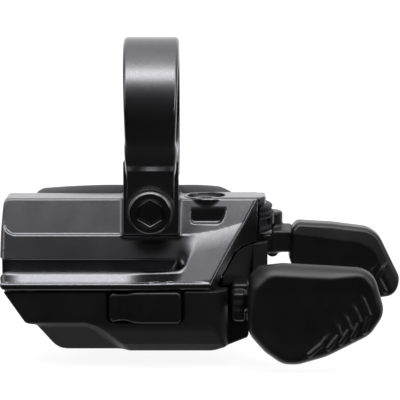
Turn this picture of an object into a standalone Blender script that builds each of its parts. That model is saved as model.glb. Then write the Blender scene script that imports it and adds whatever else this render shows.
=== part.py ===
"""A wireless thumb shifter for a bicycle handlebar, as an assembly of separate pieces.

Frame: the origin is the middle of the clamp's bore. +X runs along the bar towards the
levers, +Y points forward, away from the rider, and +Z is up.
Lengths are in millimetres until place() writes them in metres.
"""

import math

import bmesh
import bpy
from mathutils import Matrix, Vector

MM = 0.001

# Clamp
BAR_R = 11.15
RING_R = 13.4
RING_HALF = 4.65
STRAP_HALF = 3.95
STRAP_FRONT = -12.1
STRAP_BACK = -9.9
STRAP_END = -18.3
SLIT = 0.6
BOLT_Z = -14.5
BOLT_R = 2.2
BOLT_HEAD_R = 3.5
WASHER_R = 3.98
HEX_FLATS = 4.0

# Body: a metal shell over the front, a plastic tub under it, a plastic cover behind
WALL = 1.5
TOP = -13.5
SPLIT = 1.3
REAR = 1.6
LEFT = -25.2
RIGHT = 19.5
LIP = -27.7
FLOOR = -38.6
BACK = 9.6
FACET = Vector((18.17, -5.0, -13.68)), Vector((0.802, -0.583, -0.128)).normalized()
FACET_END = 18.0

# Levers, both on one upright pin
PIVOT = Vector((14.9, 2.2, 0.0))
PIN_R = 1.2
RUNNING_FIT = 0.06
BUSH_R = 1.95
HUB_R = 3.7
DECK_R = 4.75
UPPER_HUB = (-24.0, -20.4)
LOWER_HUB = (-31.6, -28.4)
CAP = (-20.1, -15.3)
CAP_R = 5.9
UPPER_FACE = -1.4
LOWER_FACE = -16.1

# Function button
BUTTON_X = (-6.9, 5.4)
BUTTON_Z = (-33.0, -28.0)
BUTTON_FACE = -13.9
STEM = Vector((-0.8, 0.0, -30.4))

# Battery, with its axis along Y
CELL = Vector((-6.5, 0.0, -26.2))
CELL_R = 8.0
COVER_R = 9.3

# The circuit board's two faces, along Y
BOARD_FRONT, BOARD_BACK = -5.5, -4.7

# Screws along Y: four for the rear cover, the lower two deeper in the tub, and one per paddle
HOUSING_SCREWS = [
    Vector((-15.4, 0, -17.2)),
    Vector((2.4, 0, -17.2)),
    Vector((-14.6, 0, -34.6)),
    Vector((5.4, 0, -34.6)),
]
UPPER_SCREW = Vector((27.6, 0.0, -22.2))
LOWER_SCREW = Vector((22.4, 0.0, -30.0))

AXES = "XYZ"

FINISHES = {
    "painted_alloy": ((0.115, 0.115, 0.125), 0.34, 0.85),
    "black_plastic": ((0.022, 0.022, 0.024), 0.52, 0.0),
    "grey_plastic": ((0.055, 0.055, 0.062), 0.5, 0.0),
    "lever_plastic": ((0.018, 0.018, 0.02), 0.48, 0.0),
    "black_steel": ((0.03, 0.03, 0.032), 0.3, 0.9),
    "bright_steel": ((0.55, 0.55, 0.56), 0.28, 1.0),
    "rubber": ((0.015, 0.015, 0.015), 0.85, 0.0),
    "circuit_green": ((0.02, 0.12, 0.05), 0.45, 0.0),
    "bronze": ((0.5, 0.33, 0.14), 0.4, 1.0),
    "nylon": ((0.3, 0.3, 0.3), 0.6, 0.0),
}


# ---------------------------------------------------------------- modelling tools


def clear_scene():
    for obj in list(bpy.data.objects):
        bpy.data.objects.remove(obj)


def mesh_object(bm):
    bmesh.ops.recalc_face_normals(bm, faces=bm.faces)
    mesh = bpy.data.meshes.new("solid")
    bm.to_mesh(mesh)
    bm.free()
    obj = bpy.data.objects.new("solid", mesh)
    bpy.context.scene.collection.objects.link(obj)
    return obj


def along(axis, flat, height):
    """A point whose height is on the named axis and whose other two values are flat."""
    point = list(flat)
    point.insert(AXES.index(axis), height)
    return point


def prism(outline, low, high, axis="Z"):
    """The outline, given in the two other axes in X, Y, Z order, drawn out from low to high."""
    bm = bmesh.new()
    face = bm.faces.new([bm.verts.new(along(axis, p, low)) for p in outline])
    made = bmesh.ops.extrude_face_region(bm, geom=[face])["geom"]
    tops = [v for v in made if isinstance(v, bmesh.types.BMVert)]
    bmesh.ops.translate(bm, verts=tops, vec=along(axis, (0, 0), high - low))
    return mesh_object(bm)


def box(x, y, z):
    corners = [(x[0], y[0]), (x[1], y[0]), (x[1], y[1]), (x[0], y[1])]
    return prism(corners, z[0], z[1])


def circle(centre, radius, steps=32):
    turn = [2 * math.pi * i / steps for i in range(steps)]
    return [(centre[0] + radius * math.cos(t), centre[1] + radius * math.sin(t)) for t in turn]


def rounded(corners, steps=4):
    """A closed outline from (a, b, radius) corners, each turned into an arc."""
    points = []
    count = len(corners)
    for i, (a, b, radius) in enumerate(corners):
        here = Vector((a, b))
        before = (Vector(corners[i - 1][:2]) - here).normalized()
        after = (Vector(corners[(i + 1) % count][:2]) - here).normalized()
        if radius == 0:
            points.append((a, b))
            continue
        half = before.angle(after) / 2
        middle = here + (before + after).normalized() * (radius / math.sin(half))
        start = here + before * (radius / math.tan(half)) - middle
        sweep = start.angle_signed(here + after * (radius / math.tan(half)) - middle)
        for k in range(steps + 1):
            turn = -sweep * k / steps
            c, s = math.cos(turn), math.sin(turn)
            offset = (start.x * c - start.y * s, start.x * s + start.y * c)
            points.append((middle.x + offset[0], middle.y + offset[1]))
    return points


def inset(line, distance):
    """An open line moved to its left by a distance, with its corners kept sharp."""
    moved = []
    sides = [(Vector(b) - Vector(a)).normalized() for a, b in zip(line, line[1:])]
    for i, point in enumerate(line):
        one = sides[max(i - 1, 0)]
        two = sides[min(i, len(sides) - 1)]
        left = Vector((-one.y - two.y, one.x + two.x)).normalized()
        moved.append(tuple(Vector(point) + left * (distance / left.dot(Vector((-one.y, one.x))))))
    return moved


def turned(profile, centre, axis="Z", steps=32):
    """A closed (radius, height) profile turned about an axis through the centre."""
    bm = bmesh.new()
    flat = [c for i, c in enumerate(centre) if AXES[i] != axis]
    base = centre[AXES.index(axis)]
    rings = []
    for radius, height in profile:
        if radius == 0:
            rings.append([bm.verts.new(along(axis, flat, base + height))] * steps)
        else:
            ring = circle(flat, radius, steps)
            rings.append([bm.verts.new(along(axis, p, base + height)) for p in ring])
    for one, two in zip(rings, rings[1:] + rings[:1]):
        for i in range(steps):
            k = (i + 1) % steps
            corners = dict.fromkeys([one[i], one[k], two[k], two[i]])
            if len(corners) > 2:
                bm.faces.new(corners)
    return mesh_object(bm)


def disc(centre, radius, span, axis="Z", steps=32):
    flat = [c for i, c in enumerate(centre) if AXES[i] != axis]
    return prism(circle(flat, radius, steps), span[0], span[1], axis)


def ring(centre, inner, outer, span, axis="Z", steps=32):
    profile = [(inner, span[0]), (outer, span[0]), (outer, span[1]), (inner, span[1])]
    place_at = [0 if AXES[i] == axis else c for i, c in enumerate(centre)]
    return turned(profile, place_at, axis, steps)


def beyond(point, normal, size=90.0):
    """A block that fills one side of a plane, to cut with."""
    half = size / 2
    block = box((-half, half), (-half, half), (0, size))
    turn = Vector((0, 0, 1)).rotation_difference(normal).to_matrix().to_4x4()
    block.data.transform(Matrix.Translation(point) @ turn)
    return block


def settle(obj):
    """Puts the evaluated mesh in place of the object's modifiers."""
    graph = bpy.context.evaluated_depsgraph_get()
    made = bpy.data.meshes.new_from_object(obj.evaluated_get(graph))
    obj.modifiers.clear()
    obj.data = made
    return obj


def combine(obj, operation, tools):
    for tool in tools:
        modifier = obj.modifiers.new(operation, "BOOLEAN")
        modifier.operation = operation
        modifier.solver = "EXACT"
        modifier.object = tool
        settle(obj)
        bpy.data.objects.remove(tool)
    return obj


def cut(obj, *tools):
    return combine(obj, "DIFFERENCE", tools)


def join(obj, *tools):
    return combine(obj, "UNION", tools)


def keep(obj, *tools):
    return combine(obj, "INTERSECT", tools)


def soften(obj, width, segments=2, angle=35):
    modifier = obj.modifiers.new("Bevel", "BEVEL")
    modifier.width = width
    modifier.segments = segments
    modifier.limit_method = "ANGLE"
    modifier.angle_limit = math.radians(angle)
    return settle(obj)


def coil(centre, radius, wire, turns, low, high, axis="Z", per_turn=16):
    """A round wire wound into an open helix, as a bevelled curve turned into a mesh."""
    flat = [c for i, c in enumerate(centre) if AXES[i] != axis]
    curve = bpy.data.curves.new("coil", "CURVE")
    curve.dimensions = "3D"
    curve.bevel_depth = wire / 2
    curve.bevel_resolution = 1
    curve.use_fill_caps = True
    spline = curve.splines.new("POLY")
    count = turns * per_turn
    spline.points.add(count)
    for i, point in enumerate(spline.points):
        turn = 2 * math.pi * i / per_turn
        where = (flat[0] + radius * math.cos(turn), flat[1] + radius * math.sin(turn))
        point.co = (*along(axis, where, low + (high - low) * i / count), 1)
    obj = bpy.data.objects.new("coil", curve)
    bpy.context.scene.collection.objects.link(obj)
    graph = bpy.context.evaluated_depsgraph_get()
    mesh = bpy.data.meshes.new_from_object(obj.evaluated_get(graph))
    bpy.data.objects.remove(obj)
    bm = bmesh.new()
    bm.from_mesh(mesh)
    bmesh.ops.remove_doubles(bm, verts=bm.verts, dist=wire / 100)
    return mesh_object(bm)


def finish_of(slot):
    made = bpy.data.materials.get(slot)
    if made:
        return made
    colour, roughness, metallic = FINISHES[slot]
    made = bpy.data.materials.new(slot)
    made.use_nodes = True
    shader = made.node_tree.nodes["Principled BSDF"]
    shader.inputs["Base Color"].default_value = (*colour, 1)
    shader.inputs["Roughness"].default_value = roughness
    shader.inputs["Metallic"].default_value = metallic
    return made


def place(name, slot, obj, origin=(0, 0, 0)):
    """Names a finished piece, writes it in metres about its origin and gives it its finish."""
    obj.name = name
    obj.data.name = name
    obj.data.transform(Matrix.Scale(MM, 4) @ Matrix.Translation(-Vector(origin)))
    obj.location = Vector(origin) * MM
    obj.data.materials.clear()
    obj.data.materials.append(finish_of(slot))
    obj.data.shade_smooth()
    obj.data.set_sharp_from_angle(angle=math.radians(30))


# ---------------------------------------------------------------- clamp and metal shell


# (Y, Z) down the front of the shell, left and right of the crease
SHELL_LEFT = [
    (SPLIT, TOP),
    (-5.0, TOP),
    (-8.4, -19.3),
    (-10.2, -23.1),
    (-9.2, -23.5),
    (-9.2, -24.5),
    (-12.2, -24.9),
    (-13.4, -26.5),
    (-13.8, -27.1),
    (-13.7, LIP),
    (SPLIT, LIP),
]
SHELL_RIGHT = [(SPLIT, TOP), (-5.0, TOP), (-13.4, -26.5), (-13.8, -27.1), (-13.7, LIP), (SPLIT, LIP)]
HOLLOW_LEFT = [
    (5.0, -15.0),
    (-4.2, -15.0),
    (-6.8, -19.4),
    (-7.7, -25.0),
    (-11.9, -27.1),
    (-11.9, -34.0),
    (5.0, -34.0),
]
HOLLOW_RIGHT = [(5.0, -15.0), (-4.2, -15.0), (-11.9, -27.1), (-11.9, -34.0), (5.0, -34.0)]
SHELL_JOIN = 6.0
POCKET = [(6.6, -14.6, 0.6), (13.4, -14.6, 0.4), (11.8, -17.5, 1.4), (6.6, -17.5, 0.6)]
POCKET_BACK = -6.25
BODY_SCREW = Vector((9.3, -2.0, 0.0))
BODY_SCREW_HOLE_R = 3.2
BOSS_R = 4.3
BOSS_FOOT = -17.0
# (X, Z) of the lower right part that the side block fills, below a bent seam
SEAM = [(11.3, -31.0), (11.6, -26.3), (14.1, -22.1), (15.7, -21.4), (24.0, -20.6), (24.0, -31.0)]


def facet(depth=0.0):
    """Everything outside the slanting side wall, moved inwards by a depth."""
    point, normal = FACET
    return beyond(point - normal * depth, normal)


def metal_shell():
    shell = prism(SHELL_LEFT, LEFT, SHELL_JOIN, "X")
    join(shell, prism(SHELL_RIGHT, SHELL_JOIN - 0.6, RIGHT, "X"))
    side = keep(facet(), box((5.0, 40.0), (-30.0, 10.0), (-60.0, TOP - WALL)))
    hollow = prism(HOLLOW_LEFT, LEFT + WALL, SHELL_JOIN - 0.3, "X")
    cut(hollow, box((LEFT, -20.9), (-0.2, 10.0), (-40.0, 0.0)))
    join(hollow, prism(HOLLOW_RIGHT, SHELL_JOIN - 0.9, 40.0, "X"))
    cut(hollow, facet(WALL))
    cut(shell, side, hollow)
    cut(shell, box((FACET_END, 40.0), (-30.0, 10.0), (-60.0, TOP - WALL - 0.1)))
    cut(shell, prism(SEAM, -20.0, 20.0, "Y"), box((16.6, 19.0), (-1.4, 3.0), (-23.0, -20.2)))
    # The corners of the left end, then that of the top's right end
    for low, high in ((TOP - 2.4, TOP), (LIP + 2.4, LIP)):
        far = high + math.copysign(1, high - low)
        corner = [(LEFT - 1, far), (LEFT - 1, low), (LEFT, low), (LEFT + 1.0, high), (LEFT + 1.0, far)]
        cut(shell, prism(corner, -20, 20, "Y"))
    corner = [(-2.4, -6.0), (1, -6.0), (1, -3.4), (0, -3.4), (-1.2, -5.0)]
    return cut(shell, prism([(RIGHT + x, y) for x, y in corner], -15.2, -10.0))


def clamp_bracket():
    shell = metal_shell()
    # The seat of the body screw and the two bosses for the upper housing screws
    seat = disc(BODY_SCREW, BOSS_R, (BOSS_FOOT, TOP - 0.2))
    cut(seat, facet(0.2), box((0.0, 20.0), (SPLIT - 0.01, 10.0), (-20.0, -10.0)))
    join(shell, seat)
    for place_at in HOUSING_SCREWS[:2]:
        boss = disc(place_at, 2.5, (-3.0, SPLIT), "Y", 20)
        join(shell, cut(boss, box((-40, 40), (-10, 10), (TOP - 0.3, 0))))
    # The pocket beside the clamp
    cut(shell, prism(rounded(POCKET), -20.0, POCKET_BACK, "Y"))
    # The block under the bar that the bolt screws into, and the ring with its strap
    pedestal = STRAP_BACK + SLIT
    join(shell, box((-RING_HALF, RING_HALF), (pedestal - 0.01, SPLIT - 0.2), (-19.2, -4.0)))
    join(shell, disc((0, 0, 0), RING_R, (-RING_HALF + 0.01, RING_HALF - 0.01), "X", 64))
    join(shell, box((-STRAP_HALF, STRAP_HALF), (STRAP_FRONT, STRAP_BACK + 0.3), (STRAP_END, -5.0)))
    cut(shell, box((-6.0, 6.0), (STRAP_BACK, pedestal), (STRAP_END - 0.05, -4.5)))
    cut(shell, disc((0, 0, 0), BAR_R, (-30, 30), "X", 64))
    # Holes for the bolt and for the body screw
    cut(shell, disc((0, 0, BOLT_Z), BOLT_R + 0.15, (-20.0, -0.6), "Y", 24))
    cut(shell, disc(BODY_SCREW, BODY_SCREW_HOLE_R, (-15.7, 0.0)))
    cut(shell, disc(BODY_SCREW, 1.65, (-30.0, 0.0), steps=20))
    for place_at in HOUSING_SCREWS[:2]:
        cut(shell, disc(place_at, 1.1, (-2.0, 30.0), "Y", 16))
    return shell


def clamp_bolt():
    seat = STRAP_FRONT - 0.75
    shank = [(BOLT_R, 0), (BOLT_R, 10.4), (BOLT_R - 0.5, 11.0), (0, 11.0)]
    head = [(0, -2.6), (BOLT_HEAD_R - 0.4, -2.6), (BOLT_HEAD_R, -2.2), (BOLT_HEAD_R, 0)]
    bolt = turned(head + shank, (0, seat, BOLT_Z), "Y")
    socket = HEX_FLATS / math.sqrt(3)
    turn = [k * math.pi / 3 for k in range(6)]
    hexagon = [(socket * math.sin(t), BOLT_Z + socket * math.cos(t)) for t in turn]
    return cut(bolt, prism(hexagon, seat - 5, seat - 0.7, "Y"))


def bolt_washer():
    return ring((0, 0, BOLT_Z), BOLT_R + 0.15, WASHER_R, (STRAP_FRONT - 0.6, STRAP_FRONT - 0.1), "Y")


def body_screw():
    shank = [(0, -5.8), (1.2, -5.8), (1.5, -5.4), (1.5, 0)]
    head = [(2.8, 0), (2.8, 1.1), (2.3, 1.6), (0, 1.6)]
    screw = turned(shank + head, (BODY_SCREW.x, BODY_SCREW.y, -15.6), steps=28)
    return cut(screw, prism(circle(BODY_SCREW[:2], 1.3, 6), -14.9, -10.0))


# ---------------------------------------------------------------- plastic housings


# (X, Z) round the tub under the shell, and round its hollow
TUB = [
    (LEFT + 1.2, LIP - 0.2, 0),
    (-20.7, -33.6, 1.2),
    (-19.2, -33.9, 0),
    (-15.8, FLOOR, 1.5),
    (13.0, FLOOR, 0.6),
    (13.0, LIP - 0.2, 0),
]
TUB_HOLLOW = [
    (-21.8, -20.0),
    (-21.8, -28.0),
    (-19.3, -32.1),
    (-17.6, -32.7),
    (-14.9, -36.8),
    (11.3, -36.8),
    (11.3, -20.0),
]
# (Y, Z) down its front, and down the front of its hollow
TUB_FRONT = [
    (SPLIT, LIP - 0.2),
    (-13.4, LIP - 0.2),
    (-12.7, -33.5),
    (-10.6, -37.6),
    (-9.2, FLOOR),
    (SPLIT, FLOOR),
]
HOLLOW_FRONT = [(5.0, -20.0), (-11.7, -20.0), (-11.7, LIP), (-10.9, -33.7), (-8.9, -36.8), (5.0, -36.8)]
# (X, Z) of the recess in the lower left corner, and (Y, Z) of what it takes away
RECESS = [(-30.0, -34.1), (-10.9, -34.1), (-3.5, -40.8), (-30.0, -42.5)]
RECESS_FRONT = [
    (-20.0, -30.0),
    (-11.6, -30.0),
    (-11.6, -34.1),
    (-9.7, -37.6),
    (-7.8, -39.4),
    (-20.0, -43.0),
]


def lower_housing():
    tub = keep(prism(rounded(TUB), -20.0, SPLIT, "Y"), prism(TUB_FRONT, -30, 30, "X"))
    # The recess in the lower left corner, and the round corner at the lever side
    cut(tub, keep(prism(RECESS, -25.0, 0.0, "Y"), prism(RECESS_FRONT, -40, 40, "X")))
    turn = [0.0, 0.4, 0.8, 1.2, math.pi / 2]
    round_corner = [(9.6 + 3.4 * math.sin(t), -10.0 - 3.4 * math.cos(t)) for t in turn]
    cut(tub, prism([*round_corner, (15.0, -10.0), (15.0, -16.0), (9.6, -16.0)], -50, -20))
    hollow = prism(TUB_HOLLOW, -20.0, 5.0, "Y")
    cut(tub, keep(hollow, prism(HOLLOW_FRONT, -40, 9.0, "X")))
    cut(tub, box((8.9, 11.3), (-8.9, 5.0), (-36.8, -20.0)))
    # The window for the function button, and the shelf behind it that guides its stem
    window_x = (BUTTON_X[0] - 0.4, BUTTON_X[1] + 0.4)
    cut(tub, box(window_x, (-20.0, BUTTON_FACE + 3.1), (BUTTON_Z[0] - 0.4, -20.0)))
    shelf = box((-4.6, 3.0), (-8.4, -7.4), (FLOOR + 1.0, -28.1))
    join(tub, cut(shelf, disc(STEM, 1.5, (-12, 0), "Y", 20)))
    for place_at in HOUSING_SCREWS[2:]:
        join(tub, disc(place_at, 2.6, (-4.6, SPLIT - 0.1), "Y", 20))
        cut(tub, disc(place_at, 1.1, (-3.6, 30.0), "Y", 16))
    # The ear that holds the foot of the pivot pin, over a slanting underside
    neck = box((11.0, 16.5), (-8.0, 1.2), (FLOOR, -34.1))
    ear = join(prism(circle(PIVOT[:2], DECK_R), FLOOR, -34.1), neck)
    cut(ear, beyond(Vector((11.1, 0, FLOOR)), Vector((2.1, 0, -5.3)).normalized()))
    cut(ear, disc(PIVOT, PIN_R + 0.15, (-50, 0), steps=20))
    # The way out for the lower lever
    cut(tub, box((11.1, 30.0), (-9.5, 5.0), (-34.1, -20.0)))
    return cut(join(tub, ear), disc(PIVOT, 2.6, (-50, -37.0), steps=23))


# (X, Z) round the rear cover, and (X, Y) round it from above
COVER = [
    (-20.9, -13.3, 2.2),
    (-20.9, -30.5, 1.5),
    (-15.2, -38.5, 2.0),
    (8.6, -38.5, 1.0),
    (14.8, -33.5, 1.0),
    (14.8, -13.3, 1.2),
]
COVER_PLAN = [
    (14.8, REAR, 0),
    (9.4, BACK, 2.5),
    (-17.0, BACK, 3.0),
    (-20.9, REAR + 3.0, 2.0),
    (-20.9, REAR, 0),
]
COVER_HOLLOW = [(-19.4, -14.8), (-19.4, -30.0), (-14.5, -36.5), (9.2, -36.5), (9.2, -14.8)]
COVER_HOLLOW_PLAN = [(9.2, 0.0), (9.2, 7.2), (8.0, 8.1), (-16.2, 8.1), (-19.4, REAR + 3.4), (-19.4, 0.0)]
BAY_R = 6.3


def rear_cover():
    cover = keep(prism(rounded(COVER), REAR, 30.0, "Y"), prism(rounded(COVER_PLAN), -60, 0))
    # The upper and lower rear edges slope forward
    upper, lower = Vector((0, 1, 0.9)).normalized(), Vector((0, 1, -0.8)).normalized()
    cut(cover, beyond(Vector((0, 8.0, -13.3)), upper), beyond(Vector((0, 8.2, -38.5)), lower))
    hollow = keep(prism(COVER_HOLLOW, 0.0, 30.0, "Y"), prism(COVER_HOLLOW_PLAN, -60, 0))
    cut(hollow, beyond(Vector((0, 6.3, -13.3)), upper), beyond(Vector((0, 6.5, -38.0)), lower))
    cut(cover, hollow)
    # Room for the levers on their pin
    cut(cover, disc(PIVOT, BAY_R, (-50.0, -15.1), steps=40))
    cut(cover, box((PIVOT.x - 1.0, 30), (0, 20), (-50.0, -15.1)))
    # The clamp ring passes close over the top
    cut(cover, disc((0, 0, 0), RING_R + 0.35, (-RING_HALF - 0.4, RING_HALF + 0.4), "X", 64))
    for place_at in HOUSING_SCREWS:
        post = disc(place_at, 1.9, (REAR + 0.4, 8.3), "Y", 20)
        join(cover, post)
    # The battery opening and the screw holes
    cut(cover, disc(CELL, COVER_R + 0.2, (7.2, 30), "Y", 48))
    cut(cover, disc(CELL, CELL_R + 0.9, (6.0, 30), "Y", 48))
    for place_at in HOUSING_SCREWS:
        cut(cover, disc(place_at, 1.1, (0, 30), "Y", 16))
        cut(cover, disc(place_at, 1.9, (BACK - 0.9, 30), "Y", 20))
    return cover


def housing_screw(place_at):
    head = BACK - 0.8
    shank = [(0, -10.4), (0.7, -10.2), (0.9, -9.6), (0.9, 0.0)]
    cap = [(1.6, 0.0), (1.6, 0.4), (1.3, 0.7), (0, 0.7)]
    screw = turned(shank + cap, (place_at.x, head, place_at.z), "Y", 20)
    return cut(screw, prism(circle((place_at.x, place_at.z), 0.75, 6), head + 0.2, head + 3, "Y"))


def side_block():
    """The dark block under the seam, in front of the upper lever's arm."""
    outline = [
        (11.9, -27.9),
        (12.0, -26.2),
        (14.4, -22.4),
        (15.9, -21.7),
        (19.9, -21.4),
        (19.9, -26.0),
        (17.6, -27.9),
    ]
    plan = [(11.9, -11.7), (17.2, -4.0), (19.9, -2.9), (19.9, -1.9), (11.9, -1.9)]
    block = keep(prism(outline, -20.0, 0.0, "Y"), prism(plan, -40, 0))
    cut(block, facet(0.25))
    cut(block, disc(PIVOT, HUB_R + 0.9, (-40, 0), steps=36))
    cut(block, disc((8.8, -6.0, 0), 3.6, (-40, 0), steps=24))
    return soften(block, 0.3, 2, 40)


def lever_deck():
    """The block over the levers that holds the head of the pivot pin."""
    low, high = CAP
    deck = disc(PIVOT, CAP_R, (low, high), steps=48)
    join(deck, box((6.6, PIVOT.x), (-4.4, 1.2), (low + 0.01, BOSS_FOOT - 0.6)))
    clear = keep(facet(WALL + 0.3), box((0, FACET_END + 0.3), (-30, 30), (-40, 0)))
    cut(deck, clear, disc(BODY_SCREW, BOSS_R + 0.3, (BOSS_FOOT - 0.3, 0)))
    # Grip ridges round its free side
    for height in (-16.4, -17.7, -19.0):
        groove = disc(PIVOT, CAP_R + 3, (height, height + 0.35))
        cut(groove, disc(PIVOT, CAP_R - 0.45, (-50, 0), steps=47))
        cut(deck, keep(groove, box((18.43, 30), (-20, 20), (-40, 0))))
    cut(deck, disc(PIVOT, PIN_R + 0.15, (-50, 0), steps=20))
    return cut(deck, disc(BODY_SCREW, 1.65, (-50, 0), steps=20))


# ---------------------------------------------------------------- levers


def pivot_pin():
    foot = [(0, -37.9), (2.3, -37.9), (2.3, -37.2), (PIN_R, -37.2)]
    return turned([*foot, (PIN_R, -15.7), (PIN_R - 0.3, -15.4), (0, -15.4)], PIVOT, steps=20)


def bush(span):
    return ring(PIVOT, PIN_R + RUNNING_FIT, BUSH_R, (span[0] + 0.1, span[1] - 0.1), steps=20)


def return_spring(span):
    low, high = span[0] + 0.6, span[1] - 0.6
    return coil(PIVOT, 2.6, 0.5, int((high - low) / 0.62), low, high)


# (X, Y, corner radius) round each arm; the first four corners are the tail that works its switch
TAIL = [(12.2, 3.6, 0), (7.4, 2.4, 0.4), (7.4, 0.8, 0.4), (11.6, 0.2, 0)]
UPPER_ARM = [
    *TAIL,
    (13.2, -1.0, 0),
    (20.8, -0.9, 1.0),
    (22.9, 0.6, 1.0),
    (23.2, 3.5, 0.4),
    (30.6, 3.7, 0.6),
    (30.6, 5.6, 0.6),
    (18.6, 6.2, 2.0),
]
LOWER_ARM = [
    *TAIL,
    (13.6, -3.0, 0),
    (13.6, -11.2, 1.2),
    (15.4, -12.2, 0.5),
    (24.6, -12.2, 0.6),
    (24.6, -10.2, 0.6),
    (19.2, -10.2, 2.0),
    (18.2, 1.0, 0),
]
HEEL = [(13.6, -11.0, 0.4), (13.6, -13.9, 0.8), (15.7, -13.9, 0.4), (15.7, -11.0, 0.4)]


def lever_arm(outline, span):
    arm = prism(rounded(outline), span[0] + 0.15, span[1] - 0.15)
    join(arm, disc(PIVOT, HUB_R, (span[0], span[1]), steps=36))
    return cut(arm, disc(PIVOT, BUSH_R + 0.15, (-50, 0), steps=24))


def upper_lever_arm():
    arm = lever_arm(UPPER_ARM, UPPER_HUB)
    # The round boss behind the deck
    boss = prism(circle((20.2, 3.2), 2.4, 24), -21.0, -18.9)
    cut(boss, disc(PIVOT, CAP_R + 0.35, (-50, 0), steps=48))
    join(arm, boss)
    return cut(arm, disc(UPPER_SCREW, 1.05, (0, 10), "Y", 20))


def lower_lever_arm():
    arm = lever_arm(LOWER_ARM, LOWER_HUB)
    join(arm, prism(rounded(HEEL), -33.0, -28.2))
    return cut(arm, disc(LOWER_SCREW, 1.05, (-20, 0), "Y", 20))


UPPER_PADDLE = [
    (23.3, -26.3, 1.5),
    (23.4, -20.2, 1.0),
    (25.4, -18.7, 1.5),
    (31.0, -18.9, 0),
    (37.4, -19.7, 1.0),
    (39.6, -21.0, 1.5),
    (43.1, -28.8, 1.5),
    (42.4, -31.4, 1.0),
    (36.0, -32.2, 4.0),
    (26.5, -29.5, 3.0),
]
LOWER_PADDLE = [
    (16.0, -27.8, 1.0),
    (17.2, -23.9, 1.5),
    (21.5, -23.1, 0),
    (34.0, -23.6, 2.0),
    (37.6, -24.4, 1.5),
    (39.2, -31.9, 1.5),
    (36.6, -35.1, 2.0),
    (31.6, -37.0, 0),
    (23.0, -40.2, 1.0),
    (19.6, -38.7, 1.5),
    (16.3, -34.6, 2.0),
]


def paddle(outline, face, depth, edge, ribs):
    """A finger pad: a plate with a sloping upper edge and raised grip ribs."""
    pad = prism(rounded(outline), face, face + depth, "Y")
    start, end, drop, back = edge
    slope = Vector((end[0] - start[0], 0, end[1] - start[1])).cross(Vector((0, back, drop)))
    slope = slope if slope.z > 0 else -slope
    cut(pad, beyond(Vector((start[0], face, start[1])), slope.normalized()))
    soften(pad, 0.45, 2, 35)
    for line in ribs:
        both_sides = inset(line, 0.4) + inset(line, -0.4)[::-1]
        join(pad, prism(both_sides, face - 0.4, face + 0.3, "Y"))
    return pad


def upper_paddle():
    edge = (23.4, -22.2), (39.8, -23.0), 2.6, 2.6
    ribs = [[(40.4, -25.6), (38.8, -28.2), (40.2, -30.6)], [(38.6, -25.6), (37.0, -28.2), (38.4, -30.6)]]
    pad = paddle(UPPER_PADDLE, UPPER_FACE, 4.6, edge, ribs)
    return cut(pad, disc(UPPER_SCREW, 0.95, (0.6, 10), "Y", 20))


def lower_paddle():
    edge = (17.8, -26.0), (36.0, -25.3), 2.5, 2.8
    ribs = [
        [(34.7, -27.8), (36.3, -31.2), (35.6, -34.6)],
        [(33.4, -29.5), (34.8, -32.6), (33.6, -35.6)],
        [(32.1, -31.1), (33.2, -33.6), (31.8, -36.2)],
        [(30.8, -32.6), (31.4, -34.6), (29.8, -36.9)],
        [(29.7, -34.4), (28.6, -36.3), (26.2, -38.0)],
    ]
    pad = paddle(LOWER_PADDLE, LOWER_FACE, 3.6, edge, ribs)
    return cut(pad, disc(LOWER_SCREW, 0.95, (-15.0, 0), "Y", 20))


def paddle_screw(place_at, head_at, length):
    shank = [(0, -length), (0.6, -length), (0.8, 0.3 - length), (0.8, 0.0)]
    cap = [(1.7, 0.0), (1.7, 0.5), (1.3, 1.0), (0, 1.0)]
    screw = turned(shank + cap, (place_at.x, head_at, place_at.z), "Y", 20)
    return cut(screw, prism(circle((place_at.x, place_at.z), 0.8, 6), head_at + 0.4, head_at + 3, "Y"))


# ---------------------------------------------------------------- function button


def function_button():
    x, z, face_y = BUTTON_X, BUTTON_Z, BUTTON_FACE
    corners = [(x[0], z[0], 1.0), (x[1], z[0], 1.3), (x[1], z[1], 0.8), (x[0], z[1], 1.0)]
    face = prism(rounded(corners), face_y, face_y + 3.1, "Y")
    # A shallow wave across its left third
    dish = disc((x[0] + 4.6, face_y - 2.4, 0), 2.7, (-40, 0), steps=40)
    cut(face, dish)
    soften(face, 0.25, 2, 50)
    flange = box((x[0] - 0.9, x[1] + 0.9), (face_y + 3.4, face_y + 4.1), (z[0] - 0.5, z[1] + 0.1))
    core = box((x[0] + 1.5, x[1] - 1.5), (face_y + 2.5, face_y + 3.9), (z[0] + 1.0, z[1] - 1.0))
    join(face, core, flange)
    # The spring sits in a round pocket about the stem
    cut(face, disc(STEM, 2.35, (face_y + 2.9, 0.0), "Y", 28))
    return join(face, disc(STEM, 1.2, (face_y + 2.3, face_y + 6.6), "Y", 20))


def button_spring():
    """Drawn at the length it has with the button pressed in."""
    return coil(STEM, 1.85, 0.3, 3, BUTTON_FACE + 3.2, BUTTON_FACE + 4.5, "Y")


def button_switch():
    front = BOARD_FRONT - 0.7
    body = box((STEM.x - 1.8, STEM.x + 1.8), (front, front + 0.6), (STEM.z - 1.6, STEM.z + 1.6))
    return join(body, disc(STEM, 0.9, (front - 0.2, front + 0.1), "Y", 20))


# ---------------------------------------------------------------- electronics


def circuit_board():
    corners = [(-20.0, -28.6), (-12.6, -35.9), (7.4, -35.9), (7.4, -20.0), (-20.0, -20.0)]
    outline = rounded([(x, z, 0.5) for x, z in corners], 2)
    board = prism(outline, BOARD_FRONT, BOARD_BACK, "Y")
    holes = [disc((x, 0, z), 0.8, (-20, 20), "Y", 16) for x, z in ((-18.7, -21.4), (5.8, -34.3))]
    return cut(board, *holes)


def radio_module():
    can = box((-17.2, -8.0), (BOARD_FRONT - 1.7, BOARD_FRONT - 0.1), (-29.9, -22.6))
    return soften(can, 0.4, 2)


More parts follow.
